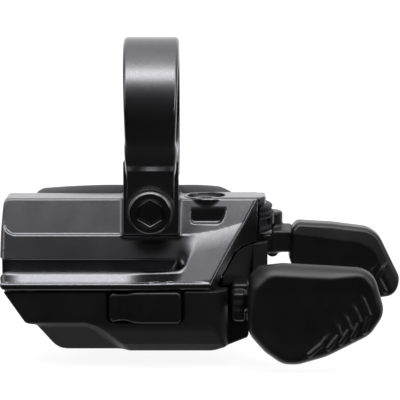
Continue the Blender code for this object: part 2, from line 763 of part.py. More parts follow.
def switch_board():
    return box((2.6, 8.6), (-4.6, 0.2), (-26.9, -26.1))


def lever_switch(side):
    """A small push switch on the upper (+1) or lower (-1) face of the switch board."""
    base = -26.1 + 0.1 if side > 0 else -26.9 - 0.1
    body = box((5.6, 8.6), (-3.6, -1.2), sorted((base, base + side * 4.0)))
    tip = box((6.6, 8.2), (-1.4, -0.7), sorted((base + side * 2.2, base + side * 3.4)))
    return join(body, tip)


def battery_tray():
    outer, inner = CELL_R + 0.6, CELL_R + 0.2
    cup = [(0, 1.9), (outer, 1.9), (outer, 5.8), (inner, 5.8), (inner, 2.5), (0, 2.5)]
    tray = turned(cup, CELL, "Y", 48)
    return cut(tray, box((CELL.x - 2.0, CELL.x + 2.0), (0, 10), (CELL.z - 12, CELL.z - 5.0)))


def battery_contact():
    corners = [(-1.2, -3.4), (1.2, -3.4), (1.2, 4.4), (-1.2, 4.4)]
    outline = rounded([(CELL.x + x, CELL.z + z, 0.4) for x, z in corners], 2)
    strip = prism(outline, 2.7, 2.9, "Y")
    return join(strip, box((CELL.x - 0.8, CELL.x + 0.8), (2.8, 3.2), (CELL.z + 2.0, CELL.z + 4.0)))


def coin_cell():
    anode = [(0, 3.4), (7.0, 3.4), (7.0, 3.7)]
    can = [(CELL_R - 0.3, 3.7), (CELL_R, 4.0), (CELL_R, 6.3), (CELL_R - 0.3, 6.6), (0, 6.6)]
    return turned(anode + can, CELL, "Y", 40)


def battery_cover():
    lid = soften(disc(CELL, COVER_R - 0.1, (7.5, 9.6), "Y", 48), 0.4, 1, 60)
    plug = ring(CELL, 5.6, 7.2, (6.9, 7.7), "Y", 40)
    # The slot for a coin, with rounded ends
    slot = rounded([(-4.8, -0.8, 0.7), (4.8, -0.8, 0.7), (4.8, 0.8, 0.7), (-4.8, 0.8, 0.7)])
    join(lid, plug)
    cut(lid, prism([(CELL.x + a, CELL.z + b) for a, b in slot], 8.4, 12.0, "Y"))
    for k in range(3):
        turn = k * 2 * math.pi / 3 + math.pi / 2
        spot = Vector((CELL.x + 7.6 * math.cos(turn), 0, CELL.z + 7.6 * math.sin(turn)))
        cut(lid, disc(spot, 0.6, (9.2, 12), "Y", 12))
    return lid


def cover_seal():
    return turned(circle((8.2, 7.15), 0.28, 8), CELL, "Y", 40)


# ---------------------------------------------------------------- assembly


def build():
    clear_scene()
    place("clamp_bracket", "painted_alloy", clamp_bracket())
    place("clamp_bolt", "black_steel", clamp_bolt(), (0, 0, BOLT_Z))
    place("bolt_washer", "bright_steel", bolt_washer())
    place("body_screw", "bright_steel", body_screw())
    place("lower_housing", "black_plastic", lower_housing())
    place("rear_cover", "grey_plastic", rear_cover())
    place("side_block", "black_plastic", side_block())
    place("lever_deck", "grey_plastic", lever_deck())
    for i, place_at in enumerate(HOUSING_SCREWS):
        place(f"housing_screw_{i + 1}", "bright_steel", housing_screw(place_at))
    place("pivot_pin", "bright_steel", pivot_pin())
    place("upper_lever_arm", "lever_plastic", upper_lever_arm(), PIVOT)
    place("upper_paddle", "lever_plastic", upper_paddle())
    place("upper_paddle_screw", "bright_steel", paddle_screw(UPPER_SCREW, 6.1, 4.8))
    place("upper_bush", "bronze", bush(UPPER_HUB))
    place("upper_spring", "bright_steel", return_spring((UPPER_HUB[0] - 4.0, UPPER_HUB[0])))
    place("lower_lever_arm", "lever_plastic", lower_lever_arm(), PIVOT)
    place("lower_paddle", "lever_plastic", lower_paddle())
    place("lower_paddle_screw", "bright_steel", paddle_screw(LOWER_SCREW, -10.0, 4.6))
    place("lower_bush", "bronze", bush(LOWER_HUB))
    place("lower_spring", "bright_steel", return_spring((-34.1, LOWER_HUB[0])))
    place("function_button", "lever_plastic", function_button(), STEM)
    place("button_spring", "bright_steel", button_spring())
    place("button_switch", "black_steel", button_switch())
    place("circuit_board", "circuit_green", circuit_board())
    place("radio_module", "bright_steel", radio_module())
    place("switch_board", "circuit_green", switch_board())
    place("upper_switch", "black_steel", lever_switch(1))
    place("lower_switch", "black_steel", lever_switch(-1))
    place("battery_tray", "black_plastic", battery_tray())
    place("battery_contact", "bright_steel", battery_contact())
    place("coin_cell", "bright_steel", coin_cell())
    place("battery_cover", "black_plastic", battery_cover(), (CELL.x, 7.5, CELL.z))
    place("cover_seal", "rubber", cover_seal())


build()
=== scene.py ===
"""The looks of the thumb shifter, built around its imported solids.

The smooth pieces are written as distance fields, in millimetres in the row frame, and turned
into meshes by a surface net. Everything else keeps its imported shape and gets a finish.
"""

import math

import bpy
import numpy as np
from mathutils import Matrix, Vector


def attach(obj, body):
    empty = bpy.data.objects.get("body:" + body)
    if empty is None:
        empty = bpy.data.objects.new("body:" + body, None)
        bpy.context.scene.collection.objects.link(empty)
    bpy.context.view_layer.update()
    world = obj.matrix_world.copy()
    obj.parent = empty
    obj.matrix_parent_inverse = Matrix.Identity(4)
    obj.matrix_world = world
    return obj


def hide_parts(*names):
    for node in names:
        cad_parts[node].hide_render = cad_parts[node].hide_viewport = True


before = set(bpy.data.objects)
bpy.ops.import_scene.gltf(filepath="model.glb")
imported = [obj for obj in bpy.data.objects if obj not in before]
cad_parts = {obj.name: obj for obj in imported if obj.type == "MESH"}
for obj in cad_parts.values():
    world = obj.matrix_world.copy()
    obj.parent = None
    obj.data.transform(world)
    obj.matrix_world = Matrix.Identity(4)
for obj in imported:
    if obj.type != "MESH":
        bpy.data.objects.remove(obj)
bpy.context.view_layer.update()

MM = 0.001

# ---------------------------------------------------------------- distance fields


def rmax(a, b, r):
    """Intersection with its edge rounded to a radius."""
    u, v = np.maximum(a + r, 0), np.maximum(b + r, 0)
    return np.minimum(np.maximum(a, b), -r) + np.sqrt(u * u + v * v)


def rmin(a, b, r):
    """Union with its inside corner filled to a radius."""
    return -rmax(-a, -b, r)


def carve(a, b, r):
    """a without b, with the edge rounded."""
    return rmax(a, -b, r)


def slab(v, low, high):
    """The space between two parallel planes."""
    return np.abs(v - (low + high) / 2) - (high - low) / 2


def box(x, y, z, bx, by, bz, r):
    """A block between three pairs of planes, with its edges rounded."""
    d = rmax(slab(x, *bx), slab(y, *by), r)
    return rmax(d, slab(z, *bz), r)


def plane(x, y, z, point, normal):
    """The half space behind a plane."""
    n = np.array(normal, float) / np.linalg.norm(normal)
    return n[0] * (x - point[0]) + n[1] * (y - point[1]) + n[2] * (z - point[2])


def circle(u, v, centre, radius):
    """A cylinder along the third axis."""
    return np.sqrt((u - centre[0]) ** 2 + (v - centre[1]) ** 2) - radius


def poly(u, v, points):
    """Signed distance to a closed outline."""
    u, v = np.broadcast_arrays(np.asarray(u, np.float32), np.asarray(v, np.float32))
    best = np.full(u.shape, 1e9, np.float32)
    inside = np.zeros(u.shape, bool)
    count = len(points)
    for i in range(count):
        (ax, ay), (bx, by) = points[i][:2], points[(i + 1) % count][:2]
        ex, ey = bx - ax, by - ay
        wx, wy = u - ax, v - ay
        t = np.clip((wx * ex + wy * ey) / (ex * ex + ey * ey), 0, 1)
        best = np.minimum(best, (wx - ex * t) ** 2 + (wy - ey * t) ** 2)
        if ay != by:
            crosses = (ay > v) != (by > v)
            inside ^= crosses & (u < ex * (v - ay) / (by - ay) + ax)
    return np.where(inside, -1, 1) * np.sqrt(best)


def arc_corners(points, steps=5):
    """A closed outline with each (a, b, radius) corner turned into an arc."""
    made = []
    count = len(points)
    for i, (a, b, radius) in enumerate(points):
        here = np.array([a, b], float)
        before = np.array(points[i - 1][:2]) - here
        after = np.array(points[(i + 1) % count][:2]) - here
        before, after = before / np.linalg.norm(before), after / np.linalg.norm(after)
        if radius == 0:
            made.append((a, b))
            continue
        half = math.acos(np.clip(before @ after, -1, 1)) / 2
        halfway = (before + after) / np.linalg.norm(before + after)
        middle = halfway * (radius / math.sin(half)) + here
        start = here + before * radius / math.tan(half) - middle
        end = here + after * radius / math.tan(half) - middle
        sweep = math.atan2(start[0] * end[1] - start[1] * end[0], start @ end)
        for k in range(steps + 1):
            c, s = math.cos(sweep * k / steps), math.sin(sweep * k / steps)
            turned = start[0] * c - start[1] * s, start[0] * s + start[1] * c
            made.append((middle[0] + turned[0], middle[1] + turned[1]))
    return made


def smooth(a, b, v):
    """A soft step from 0 at a to 1 at b."""
    t = np.clip((v - a) / (b - a), 0, 1)
    return t * t * (3 - 2 * t)


# ---------------------------------------------------------------- surface net

CORNERS = [(i, j, k) for i in (0, 1) for j in (0, 1) for k in (0, 1)]
CHUNK = 24  # grid layers worked out at once
SETTLE_STEPS = 3
FLATTEST = 0.25  # the smallest squared gradient that a step divides by
FIELD_HOP, NORMAL_HOP = 0.02, 0.03


def gradient(field, p, step=FIELD_HOP):
    """The field's slope at each point, by central differences."""
    out = np.empty_like(p)
    for k in range(3):
        hop = np.zeros(3)
        hop[k] = step
        a, b = p + hop, p - hop
        out[:, k] = field(a[:, 0], a[:, 1], a[:, 2]) - field(b[:, 0], b[:, 1], b[:, 2])
    return out / (2 * step)


def sample(field, axes):
    """The field's value at every grid point, worked out a few layers at a time."""
    value = np.empty([len(a) for a in axes], np.float32)
    y, z = axes[1][None, :, None], axes[2][None, None, :]
    for start in range(0, len(axes[0]), CHUNK):
        x = axes[0][start : start + CHUNK, None, None]
        value[start : start + CHUNK] = field(x, y, z)
    return value


def crossed_cells(inside):
    """The grid cells that have corners on both sides of the surface."""
    shape = inside.shape
    count = np.zeros([s - 1 for s in shape], np.int8)
    for i, j, k in CORNERS:
        count += inside[i : shape[0] - 1 + i, j : shape[1] - 1 + j, k : shape[2] - 1 + k]
    return np.argwhere((count > 0) & (count < len(CORNERS)))


def cell_points(value, cells):
    """The mean of the crossings on each cell's edges, in grid steps."""
    at = {c: value[tuple((cells + c).T)] for c in CORNERS}
    total = np.zeros((len(cells), 3))
    hits = np.zeros(len(cells))
    for c in CORNERS:
        for axis in range(3):
            if c[axis]:
                continue
            d = tuple(c[k] + (k == axis) for k in range(3))
            a, b = at[c], at[d]
            cross = (a < 0) != (b < 0)
            t = np.where(cross, a / np.where(a == b, 1, a - b), 0)
            point = np.array(c, float)[None, :] + t[:, None] * np.eye(3)[axis]
            total += point * cross[:, None]
            hits += cross
    return cells + total / hits[:, None]


def cell_quads(inside, cells):
    """A quad round every grid edge that crosses the surface, facing out."""
    number = np.full([s - 1 for s in inside.shape], -1, np.int32)
    number[tuple(cells.T)] = np.arange(len(cells))
    quads = []
    for axis in range(3):
        one, two = (axis + 1) % 3, (axis + 2) % 3
        cut_low, cut_high = [slice(1, -1)] * 3, [slice(1, -1)] * 3
        cut_low[axis], cut_high[axis] = slice(0, -1), slice(1, None)
        a, b = inside[tuple(cut_low)], inside[tuple(cut_high)]
        for sign in (1, -1):
            found = np.argwhere((a & ~b) if sign > 0 else (~a & b))
            found[:, [one, two]] += 1
            around = []
            for u, v in ((1, 1), (0, 1), (0, 0), (1, 0)):
                cell = found.copy()
                cell[:, one] -= u
                cell[:, two] -= v
                around.append(number[tuple(cell.T)])
            quads.append(np.stack(around[::sign], 1))
    return np.concatenate(quads)


def settled(field, p, pitch):
    """The points moved onto the surface, in a few steps along the field's slope."""
    for _ in range(SETTLE_STEPS):
        d = np.clip(field(p[:, 0], p[:, 1], p[:, 2]), -pitch, pitch)
        g = gradient(field, p)
        p = p - (d / np.maximum((g * g).sum(1), FLATTEST))[:, None] * g
    return p


def net(field, low, high, pitch):
    """Vertices and quads of the field's zero surface."""
    axes = [np.arange(low[k] - 1.5 * pitch, high[k] + 2.5 * pitch, pitch) for k in range(3)]
    value = sample(field, axes)
    inside = value < 0
    cells = crossed_cells(inside)
    p = cell_points(value, cells) * pitch + np.array([a[0] for a in axes])
    return settled(field, p, pitch), cell_quads(inside, cells)


def sculpt(name, field, low, high, pitch, share=1.0):
    """A mesh piece from a field in millimetres, thinned where it is flat, with the field's normals."""
    p, faces = net(field, low, high, pitch * (1))
    mesh = bpy.data.meshes.new(name)
    mesh.from_pydata(p * MM, [], faces[(faces >= 0).all(1)].tolist())
    obj = bpy.data.objects.new(name, mesh)
    bpy.context.scene.collection.objects.link(obj)
    if share < 1:
        thin = obj.modifiers.new("Thin", "DECIMATE")
        thin.ratio = share
        graph = bpy.context.evaluated_depsgraph_get()
        thinned = bpy.data.meshes.new_from_object(obj.evaluated_get(graph))
        obj.modifiers.clear()
        obj.data = mesh = thinned
    mesh.shade_smooth()
    at = np.empty(len(mesh.vertices) * 3)
    mesh.vertices.foreach_get("co", at)
    g = gradient(field, at.reshape(-1, 3) / MM, NORMAL_HOP)
    g /= np.maximum(np.linalg.norm(g, axis=1), 1e-9)[:, None]
    mesh.normals_split_custom_set_from_vertices(g.tolist())
    return obj


# ---------------------------------------------------------------- the clamp and metal shell

BAR_R, RING_R = 11.15, 13.4
BOLT = (0.0, -14.5)
BOLT_HOLE_R = 2.35
TOP, LIP, LEFT, RIGHT = -13.5, -27.7, -25.5, 19.5
SPLIT = 1.3  # where the shell and the housing meet the rear cover
SIDE_POINT, SIDE_NORMAL = (18.17, -5.0, -13.68), (0.802, -0.583, -0.128)
PIVOT = (14.9, 2.2)
PIN_HOLE_R = 1.35
BODY_SCREW = (9.3, -2.0)
BODY_SCREW_HEAD_R, BODY_SCREW_HOLE_R = 3.2, 1.65
SEAM = [(11.3, -31.0), (11.6, -26.3), (14.1, -22.1), (15.7, -21.4), (24.0, -20.6), (24.0, -31.0)]
HOLLOW_LEFT = [
    (5.0, -15.0), (-4.2, -15.0), (-6.8, -19.4), (-7.7, -25.0), (-11.9, -27.1), (-11.9, -34.0),
    (5.0, -34.0),
]
HOLLOW_RIGHT = [(5.0, -15.0), (-4.2, -15.0), (-11.9, -27.1), (-11.9, -34.0), (5.0, -34.0)]
UPPER_SCREWS = ((-15.4, -17.2), (2.4, -17.2))
LOWER_SCREWS = ((-14.6, -34.6), (5.4, -34.6))
SCREW_HOLE_R = 1.1
# (X, Z, corner radius) round the sunken panel on the upper front
PANEL = [
    (-24.7, -10.0, 0), (-25.0, -19.25, 2.0), (6.2, -19.25, 1.5), (11.0, -18.5, 2), (15.2, -17.35, 0),
    (24.0, -15.0, 0), (24.0, -10.0, 0),
]
PANEL_Y, PANEL_LEAN = -5.0, 0.54
BAND_POINT, BAND_NORMAL = (0, -8.45, -19.3), (0, -3.8, 1.72)
GROOVE_TOP, GROOVE_Y, CORE_TOP = -23.1, -9.2, -21.5
MERGE_X, MERGE_Z, MERGE_WIDTH = 6.0, -22.0, (1.5, -0.9)
LEDGE_BACK_Y, LEDGE_FRONT_Y, LEDGE_FRONT_Z = -12.15, -13.4, -26.2
LEDGE_TOP_POINT, LEDGE_TOP_NORMAL = (0, -12.2, -24.8), (0, 0.2, 1)
LEDGE_RISE = 1.6
CREASE_X, CREASE_Z = (4.5, 6.2, 11.0, 15.2, 24.0), (-19.25, -19.25, -18.5, -17.35, -15.0)
SLOPE_LEAN, SLOPE_EXTRA, SLOPE_EXTRA_DEPTH = 0.61, 0.13, 3.0
LIP_Y, LIP_TOP = -13.98, -26.5
# (point, normal, edge radius): the left end leans in towards the top, and its lower corner is off
LEFT_END = [
    ((LEFT, 0, -17.5), (-1, 0, 0.12), 0.4),
    ((LEFT + 0.55, 0, TOP - 0.3), (-1, 0, 0.9), 0.4),
    ((LEFT + 0.2, 0, LIP + 1.1), (-1, 0, -0.4), 0.6),
]
SIDE_RIGHT = 18.0
STRAP = [
    (-9.9, -3.0), (-11.9, -4.0), (-11.9, -7.1), (-11.4, -8.1), (-11.7, -12.0), (-11.7, -18.3),
    (-9.9, -18.3),
]
POCKET = [(6.7, -14.65, 0.3), (12.9, -14.65, 0.3), (11.8, -17.5, 1.2), (6.7, -17.5, 0.6)]
POCKET_BACK = -6.25
SEAT_R, SEAT_BOTTOM = 3.9, -14.5
SEAT_STEM_R, SEAT_STEM_BOTTOM = 4.0, -17.0
SEAT_WALL = ((5.4, 14.2), (-5.8, -4.0), (-18.6, -15.3))
SCREW_HEAD_SEAT = -15.7
UPPER_BOSS_R, UPPER_BOSS_Y, UPPER_HOLE_Y = 2.5, -3.0, -2.0
ARM_NOTCH = ((16.6, 19.0), (-1.4, 3.0), (-23.0, -20.2))
TOP_PLATE = ((10.0, RIGHT), (-4.9, 6.0), (-15.0, TOP))
CLAMP_HALF, CLAMP_BOTTOM, CLAMP_BACK = 4.65, -19.2, 1.15
RING_HALF, RING_BOTTOM = 4.3, -11.0
BOLT_HOLE_Y = (-20.0, -0.6)
SLIT = (-9.9, -9.3)  # in front of and behind the gap that the bolt closes
SLIT_BOTTOM, SLIT_TOP = -18.35, -4.0
STRAP_HALF = 3.95


def side_plane(x, y, z, depth=0.0):
    """The slanting side of the shell, moved in by a depth."""
    return plane(x, y, z, SIDE_POINT, SIDE_NORMAL) + depth


def panel_out(x, z):
    """How far out the sunken panel lies; it leans back more towards the right."""
    lean = PANEL_LEAN + 0.05 * smooth(4.6, 12.0, x)
    return PANEL_Y - 0.3 * smooth(3.9, 4.6, x) - lean * (TOP - z)


def upper_front(x, y, z):
    """The band across the front, with the panel sunk into it, and its rounded left end."""
    band = plane(x, y, z, BAND_POINT, BAND_NORMAL)
    band = rmax(band, LEFT - x, 1.3)
    panel = rmax((y - panel_out(x, z)) * 0.86, poly(x, z, arc_corners(PANEL)), 0.15)
    body = carve(band, panel, 0.2)
    body = rmax(body, z - TOP, 0.35)
    return rmax(body, GROOVE_TOP - z, 0.12)


def ledge(x, y, z):
    """The ledge along the bottom; its front stands steeper under the clamp."""
    back = LEDGE_BACK_Y - 0.75 * smooth(-5.0, 0.5, x) - 0.6 * smooth(-21.0, -25.5, x)
    fall = back - LEDGE_FRONT_Y
    scale = 1 / np.sqrt(LEDGE_RISE * LEDGE_RISE + fall * fall)
    front = (-LEDGE_RISE * (y - LEDGE_FRONT_Y) + fall * (z - LEDGE_FRONT_Z)) * scale
    top = plane(x, y, z, LEDGE_TOP_POINT, LEDGE_TOP_NORMAL)
    body = rmax(front, top, 0.6)
    return rmax(body, LEFT - x, 2.0)


def slope(x, y, z):
    """The broad slope at the right, which comes forward faster just under its crease."""
    crease = np.interp(x, CREASE_X, CREASE_Z)
    below = np.maximum(crease - z, 0)
    near = np.minimum(below, SLOPE_EXTRA_DEPTH)
    extra = SLOPE_EXTRA * (near - near * near / (2 * SLOPE_EXTRA_DEPTH))
    out = panel_out(np.maximum(x, 4.6), np.maximum(z, crease)) - SLOPE_LEAN * below - extra
    return (out - y) * 0.85


def shell_front(x, y, z):
    """The band, the groove, the ledge and the slope, with the lip along their foot."""
    core = rmax(rmax(GROOVE_Y - y, z - CORE_TOP, 0.2), LEFT + 0.3 - x, 0.6)
    body = rmin(upper_front(x, y, z), core, 0.3)
    body = rmin(body, ledge(x, y - 0.45 * smooth(-1.0, 5.0, x), z), 0.1)
    # The band, the groove and the ledge die out in the slope along a slanting line
    across = 0.3 * (z - MERGE_Z) - 0.7 * (x - MERGE_X)
    share = smooth(*MERGE_WIDTH, across * (1.0 + 0.35 * smooth(-21.8, -23.2, z)))
    body = body + (slope(x, y, z) - body) * share
    body = rmax(body, z - TOP, 0.35)
    # The lip stands a little proud of the ledge and of the slope
    face = LIP_Y + 0.5 * smooth(-0.5, 5.5, x)
    body = rmax(body, face + 0.18 - y, 0.3)
    lip = rmax(face - y, (z - LIP_TOP + 0.3 - (y - face)) * 0.7, 0.12)
    return rmin(body, np.maximum(lip, z - LIP_TOP), 0.06)


def shell_outside(x, y, z):
    """The outside of the metal shell, without its clamp."""
    body = rmax(shell_front(x, y, z), LIP - z, 0.25)
    for point, normal, r in LEFT_END:
        body = rmax(body, plane(x, y, z, point, normal), r)
    # The slanting side, and the top plate that reaches over it
    side = np.maximum(rmax(body, side_plane(x, y, z), 0.35), x - SIDE_RIGHT)
    over = box(x, y, z, *TOP_PLATE, 0.35)
    over = rmax(over, side_plane(x, y, z, -0.02), 0.4)
    body = rmin(side, over, 0.2)
    return rmax(body, y - SPLIT, 0.2)


def hollow_inside(x, y, z):
    """The room inside the metal shell, lower at the right where the slope comes down."""
    left = rmax(poly(y, z, HOLLOW_LEFT), x - 5.7, 0.3)
    right = rmax(poly(y, z, HOLLOW_RIGHT), 5.1 - x, 0.3)
    hollow = np.maximum(rmin(left, right, 0.3), side_plane(x, y, z, 1.5))
    hollow = np.maximum(hollow, LEFT + 1.5 - x)
    return np.maximum(hollow, -np.maximum(x + 20.9, -0.2 - y))


def screw_seat(body, x, y, z):
    """The round seat of the body screw, standing over a pocket, and two bosses behind."""
    wall = box(x, y, z, *SEAT_WALL, 0.2)
    body = np.minimum(body, np.maximum(wall, side_plane(x, y, z, 0.5)))
    pocket = rmax(poly(x, z, arc_corners(POCKET)), y - POCKET_BACK, 0.3)
    body = carve(body, pocket, 0.2)
    rim = rmax(circle(x, y, BODY_SCREW, SEAT_R), slab(z, SEAT_BOTTOM, TOP), 0.25)
    body = rmin(body, rim, 0.15)
    stem = rmax(circle(x, y, BODY_SCREW, SEAT_STEM_R), slab(z, SEAT_STEM_BOTTOM, TOP - 0.1), 0.2)
    stem = rmax(stem, POCKET_BACK - y, 0.1)
    stem = np.maximum(rmax(stem, y - SPLIT, 0.2), side_plane(x, y, z, 0.3))
    body = rmin(body, stem, 0.2)
    for screw in UPPER_SCREWS:
        boss = rmax(circle(x, z, screw, UPPER_BOSS_R), slab(y, UPPER_BOSS_Y, SPLIT - 0.05), 0.1)
        body = np.minimum(body, rmax(boss, z - TOP + 0.3, 0.1))
    return body


def strap(x, y, z):
    """The tab at the front of the ring, which widens into a round boss under the bolt."""
    tab = rmax(rmax(poly(y, z, STRAP), x - STRAP_HALF, 0.35), -STRAP_HALF - x, 0.1)
    end = rmax(circle(x, z, BOLT, STRAP_HALF), slab(y, -11.7, SLIT[0]), 0.3)
    lower = rmax(tab, -15.2 - z, 0.3)
    return rmin(lower, end, 0.15)


def clamp(body, x, y, z):
    """The block under the bar, the ring and its strap, with the slit between them."""
    block_y, block_z = (SLIT[1], CLAMP_BACK), (CLAMP_BOTTOM, SLIT_TOP)
    block = box(x, y, z, (-CLAMP_HALF, CLAMP_HALF), block_y, block_z, 0.35)
    body = rmin(body, block, 1.0)
    radius = np.sqrt(y * y + z * z)
    # In front the ring narrows from its top to the strap; behind it keeps the block's width
    half = RING_HALF + 0.034 * z * smooth(4.0, -4.0, y) + 0.35 * smooth(-4.0, 4.0, y)
    ring = rmax(radius - RING_R, np.abs(x) - half, 0.7)
    rear = rmax(ring, np.maximum(SLIT[1] - y, RING_BOTTOM - z), 0.15)
    front = rmax(ring, y - SLIT[0] - 40 * (z > SLIT_TOP), 0.15)
    front = rmin(front, strap(x, y, z), 0.9)
    body = rmin(body, rear, 0.7)
    slit = np.maximum(np.maximum(slab(y, *SLIT), slab(x, -6.0, 6.0)), slab(z, SLIT_BOTTOM, SLIT_TOP))
    body = np.maximum(body, -slit)
    body = np.minimum(body, front)
    return carve(body, radius - BAR_R + 0 * x, 0.3)


def bracket(x, y, z):
    """The metal shell with its clamp, cut by the seam and by the screw holes."""
    body = carve(shell_outside(x, y, z), hollow_inside(x, y, z), 0.1)
    body = carve(body, poly(x, z, SEAM), 0.12)
    body = carve(body, box(x, y, z, *ARM_NOTCH, 0.1), 0.1)
    body = screw_seat(body, x, y, z)
    body = clamp(body, x, y, z)
    body = carve(body, np.maximum(circle(x, z, BOLT, BOLT_HOLE_R), slab(y, *BOLT_HOLE_Y)), 0.15)
    head = circle(x, y, BODY_SCREW, BODY_SCREW_HEAD_R)
    body = carve(body, np.maximum(head, SCREW_HEAD_SEAT - z), 0.25)
    body = carve(body, circle(x, y, BODY_SCREW, BODY_SCREW_HOLE_R) + 0 * z, 0.1)
    for screw in UPPER_SCREWS:
        body = np.maximum(body, -np.maximum(circle(x, z, screw, SCREW_HOLE_R), UPPER_HOLE_Y - y))
    return body


# ---------------------------------------------------------------- plastic housings

FLOOR = -39.2
EAR_R, EAR_TOP, EAR_LEFT, EAR_FRONT = 4.75, -34.1, 11.1, -9.5
NECK = ((11.0, 16.5), (-8.0, 1.2), (FLOOR, EAR_TOP))
PIN_HEAD_R, PIN_HEAD_TOP = 2.6, -37.0
TUB_RIGHT, THICK_FROM, THICK_Y = 13.0, 9.0, -8.9
SHELF = ((-4.6, 3.0), (-8.4, -7.4), (-37.6, -28.1))
LOWER_BOSS_R, LOWER_BOSS_Y, LOWER_HOLE_Y = 2.6, -4.6, -3.6
STEM_GUIDE_R = 1.5
EAR_CUT = (2.1, 0, -5.3)
TUB = [
    (-24.7, -27.9, 0), (-20.9, -33.8, 1.6), (-19.3, -34.1, 0), (-15.8, FLOOR, 3.5),
    (TUB_RIGHT, FLOOR, 0.8), (TUB_RIGHT, -27.9, 0),
]
TUB_FRONT = [(2.3, -27.9), (-14.1, -27.9), (-12.9, -33.5), (-10.7, -37.6), (-9.3, FLOOR), (2.3, FLOOR)]
TUB_HOLLOW = [
    (-21.8, -20.0), (-21.8, -28.0), (-19.3, -32.1), (-17.6, -32.7), (-14.9, -36.8), (11.3, -36.8),
    (11.3, -20.0),
]
HOLLOW_FRONT = [
    (5.0, -20.0), (-11.7, -20.0), (-11.7, -27.7), (-10.9, -33.7), (-8.9, -36.8), (5.0, -36.8),
]
RECESS = [(-30.0, -34.2), (-11.1, -34.2), (-9.6, -34.8), (-3.5, -40.8), (-30.0, -42.5)]
BUTTON_X, BUTTON_Z, BUTTON_Y = (-6.9, 5.0), (-33.2, -28.1), -14.3
STEM = (-0.8, -30.4)


def tub(x, y, z):
    """The hollow tub, with the recess under its left end and the button's window."""
    body = rmax(poly(x, z, arc_corners(TUB)), poly(y, z, TUB_FRONT), 0.45)
    # The corner at the lever side is round when seen from above
    corner = rmax(x - TUB_RIGHT, plane(x, y, z, (0, -13.6, -27.9), (0, -5.6, -1.0)), 3.4)
    body = rmax(body, corner, 0.3)
    back = -plane(x, y, z, (0, -11.4, -34.1), (0, -3.3, -2.3))
    recess = rmax((poly(x, z, RECESS) + 0.87 * back) * 0.75, back, 0.3)
    body = carve(body, recess, 0.3)
    body = rmax(body, plane(x, y, z, (10.3, 0, FLOOR), EAR_CUT), 0.3)
    hollow = rmax(poly(x, z, TUB_HOLLOW), poly(y, z, HOLLOW_FRONT), 0.3)
    # At the lever side the wall in front of the hollow is thicker
    body = carve(body, rmax(hollow, np.where(x > THICK_FROM, THICK_Y - y, -90.0), 0.1), 0.1)
    window_x, window_z = (BUTTON_X[0] - 0.4, BUTTON_X[1] + 0.55), (BUTTON_Z[0] - 0.2, -20.0)
    window = box(x, y, z, window_x, (-20.0, -10.8), window_z, 0.9)
    return carve(body, window, 0.25)


def housing(x, y, z):
    """The lower housing: the tub with its shelf, its screw bosses and an ear for the pin."""
    body = tub(x, y, z)
    shelf = box(x, y, z, *SHELF, 0.1)
    body = np.minimum(body, np.maximum(shelf, -circle(x, z, STEM, STEM_GUIDE_R)))
    for screw in LOWER_SCREWS:
        boss = rmax(circle(x, z, screw, LOWER_BOSS_R), slab(y, LOWER_BOSS_Y, SPLIT - 0.1), 0.1)
        body = np.minimum(body, boss)
        body = np.maximum(body, -np.maximum(circle(x, z, screw, SCREW_HOLE_R), LOWER_HOLE_Y - y))
    ear = rmax(circle(x, y, PIVOT, EAR_R), slab(z, FLOOR, EAR_TOP), 0.3)
    ear = rmin(ear, box(x, y, z, *NECK, 0.3), 0.8)
    ear = rmax(ear, plane(x, y, z, (EAR_LEFT, 0, FLOOR), EAR_CUT), 0.5)
    body = carve(body, np.maximum(np.maximum(EAR_LEFT - x, EAR_FRONT - y), EAR_TOP - z), 0.2)
    body = rmin(body, ear, 0.5)
    body = carve(body, circle(x, y, PIVOT, PIN_HOLE_R) + 0 * z, 0.1)
    body = carve(body, np.maximum(circle(x, y, PIVOT, PIN_HEAD_R), z - PIN_HEAD_TOP), 0.2)
    return np.maximum(body, y - SPLIT)


COVER = [
    (-20.9, -12.0, 0), (-20.9, -30.5, 2.5), (-15.2, -38.5, 2.5), (8.6, -38.5, 1.5), (14.8, -33.5, 1.5),
    (14.8, -12.0, 0),
]
COVER_PLAN = [
    (14.8, 0.6, 0), (14.8, 1.6, 0), (9.4, 9.6, 3.5), (-17.0, 9.6, 3.5), (-20.9, 4.6, 3.0),
    (-20.9, 0.6, 0),
]
COVER_HOLLOW = [(-19.4, -14.8), (-19.4, -30.0), (-14.5, -36.5), (9.2, -36.5), (9.2, -14.8)]
HOLLOW_PLAN = [(9.2, 0.0), (9.2, 7.2), (8.0, 8.1), (-16.2, 8.1), (-19.4, 5.0), (-19.4, 0.0)]
CELL = (-6.5, -26.2)
LID_SEAT_R, LID_SEAT_Y, CELL_BAY_R, CELL_BAY_Y = 9.5, 7.2, 8.9, 6.0
LEVER_BAY_R, LEVER_BAY_X, LEVER_BAY_TOP = 6.3, 13.9, -15.1
RING_GAP_R, RING_GAP_HALF = 13.75, 5.05
COVER_POST_R, COVER_POST_Y = 1.9, (2.0, 8.3)
SCREW_SINK_R, SCREW_SINK_Y = 2.1, 8.7
COVER_FRONT = 1.6
CROWN_TOP, CROWN_Y, CROWN_FALL = -12.75, 5.5, 0.054
# (point, normal, edge radius) of the slopes at the back, at both ends and under the back
COVER_SLOPES = [
    ((0, 7.0, -12.8), (0, 1, 0.9), 1.6),
    ((12.4, 0, -12.7), (0.28, 0, 1), 1.5),
    ((-16.5, 0, -12.75), (-0.16, 0, 1), 1.5),
    ((-19.9, 0, -13.1), (-1, 0, 0.75), 1.0),
    ((0, 8.2, -38.5), (0, 1, -0.8), 1.2),
]


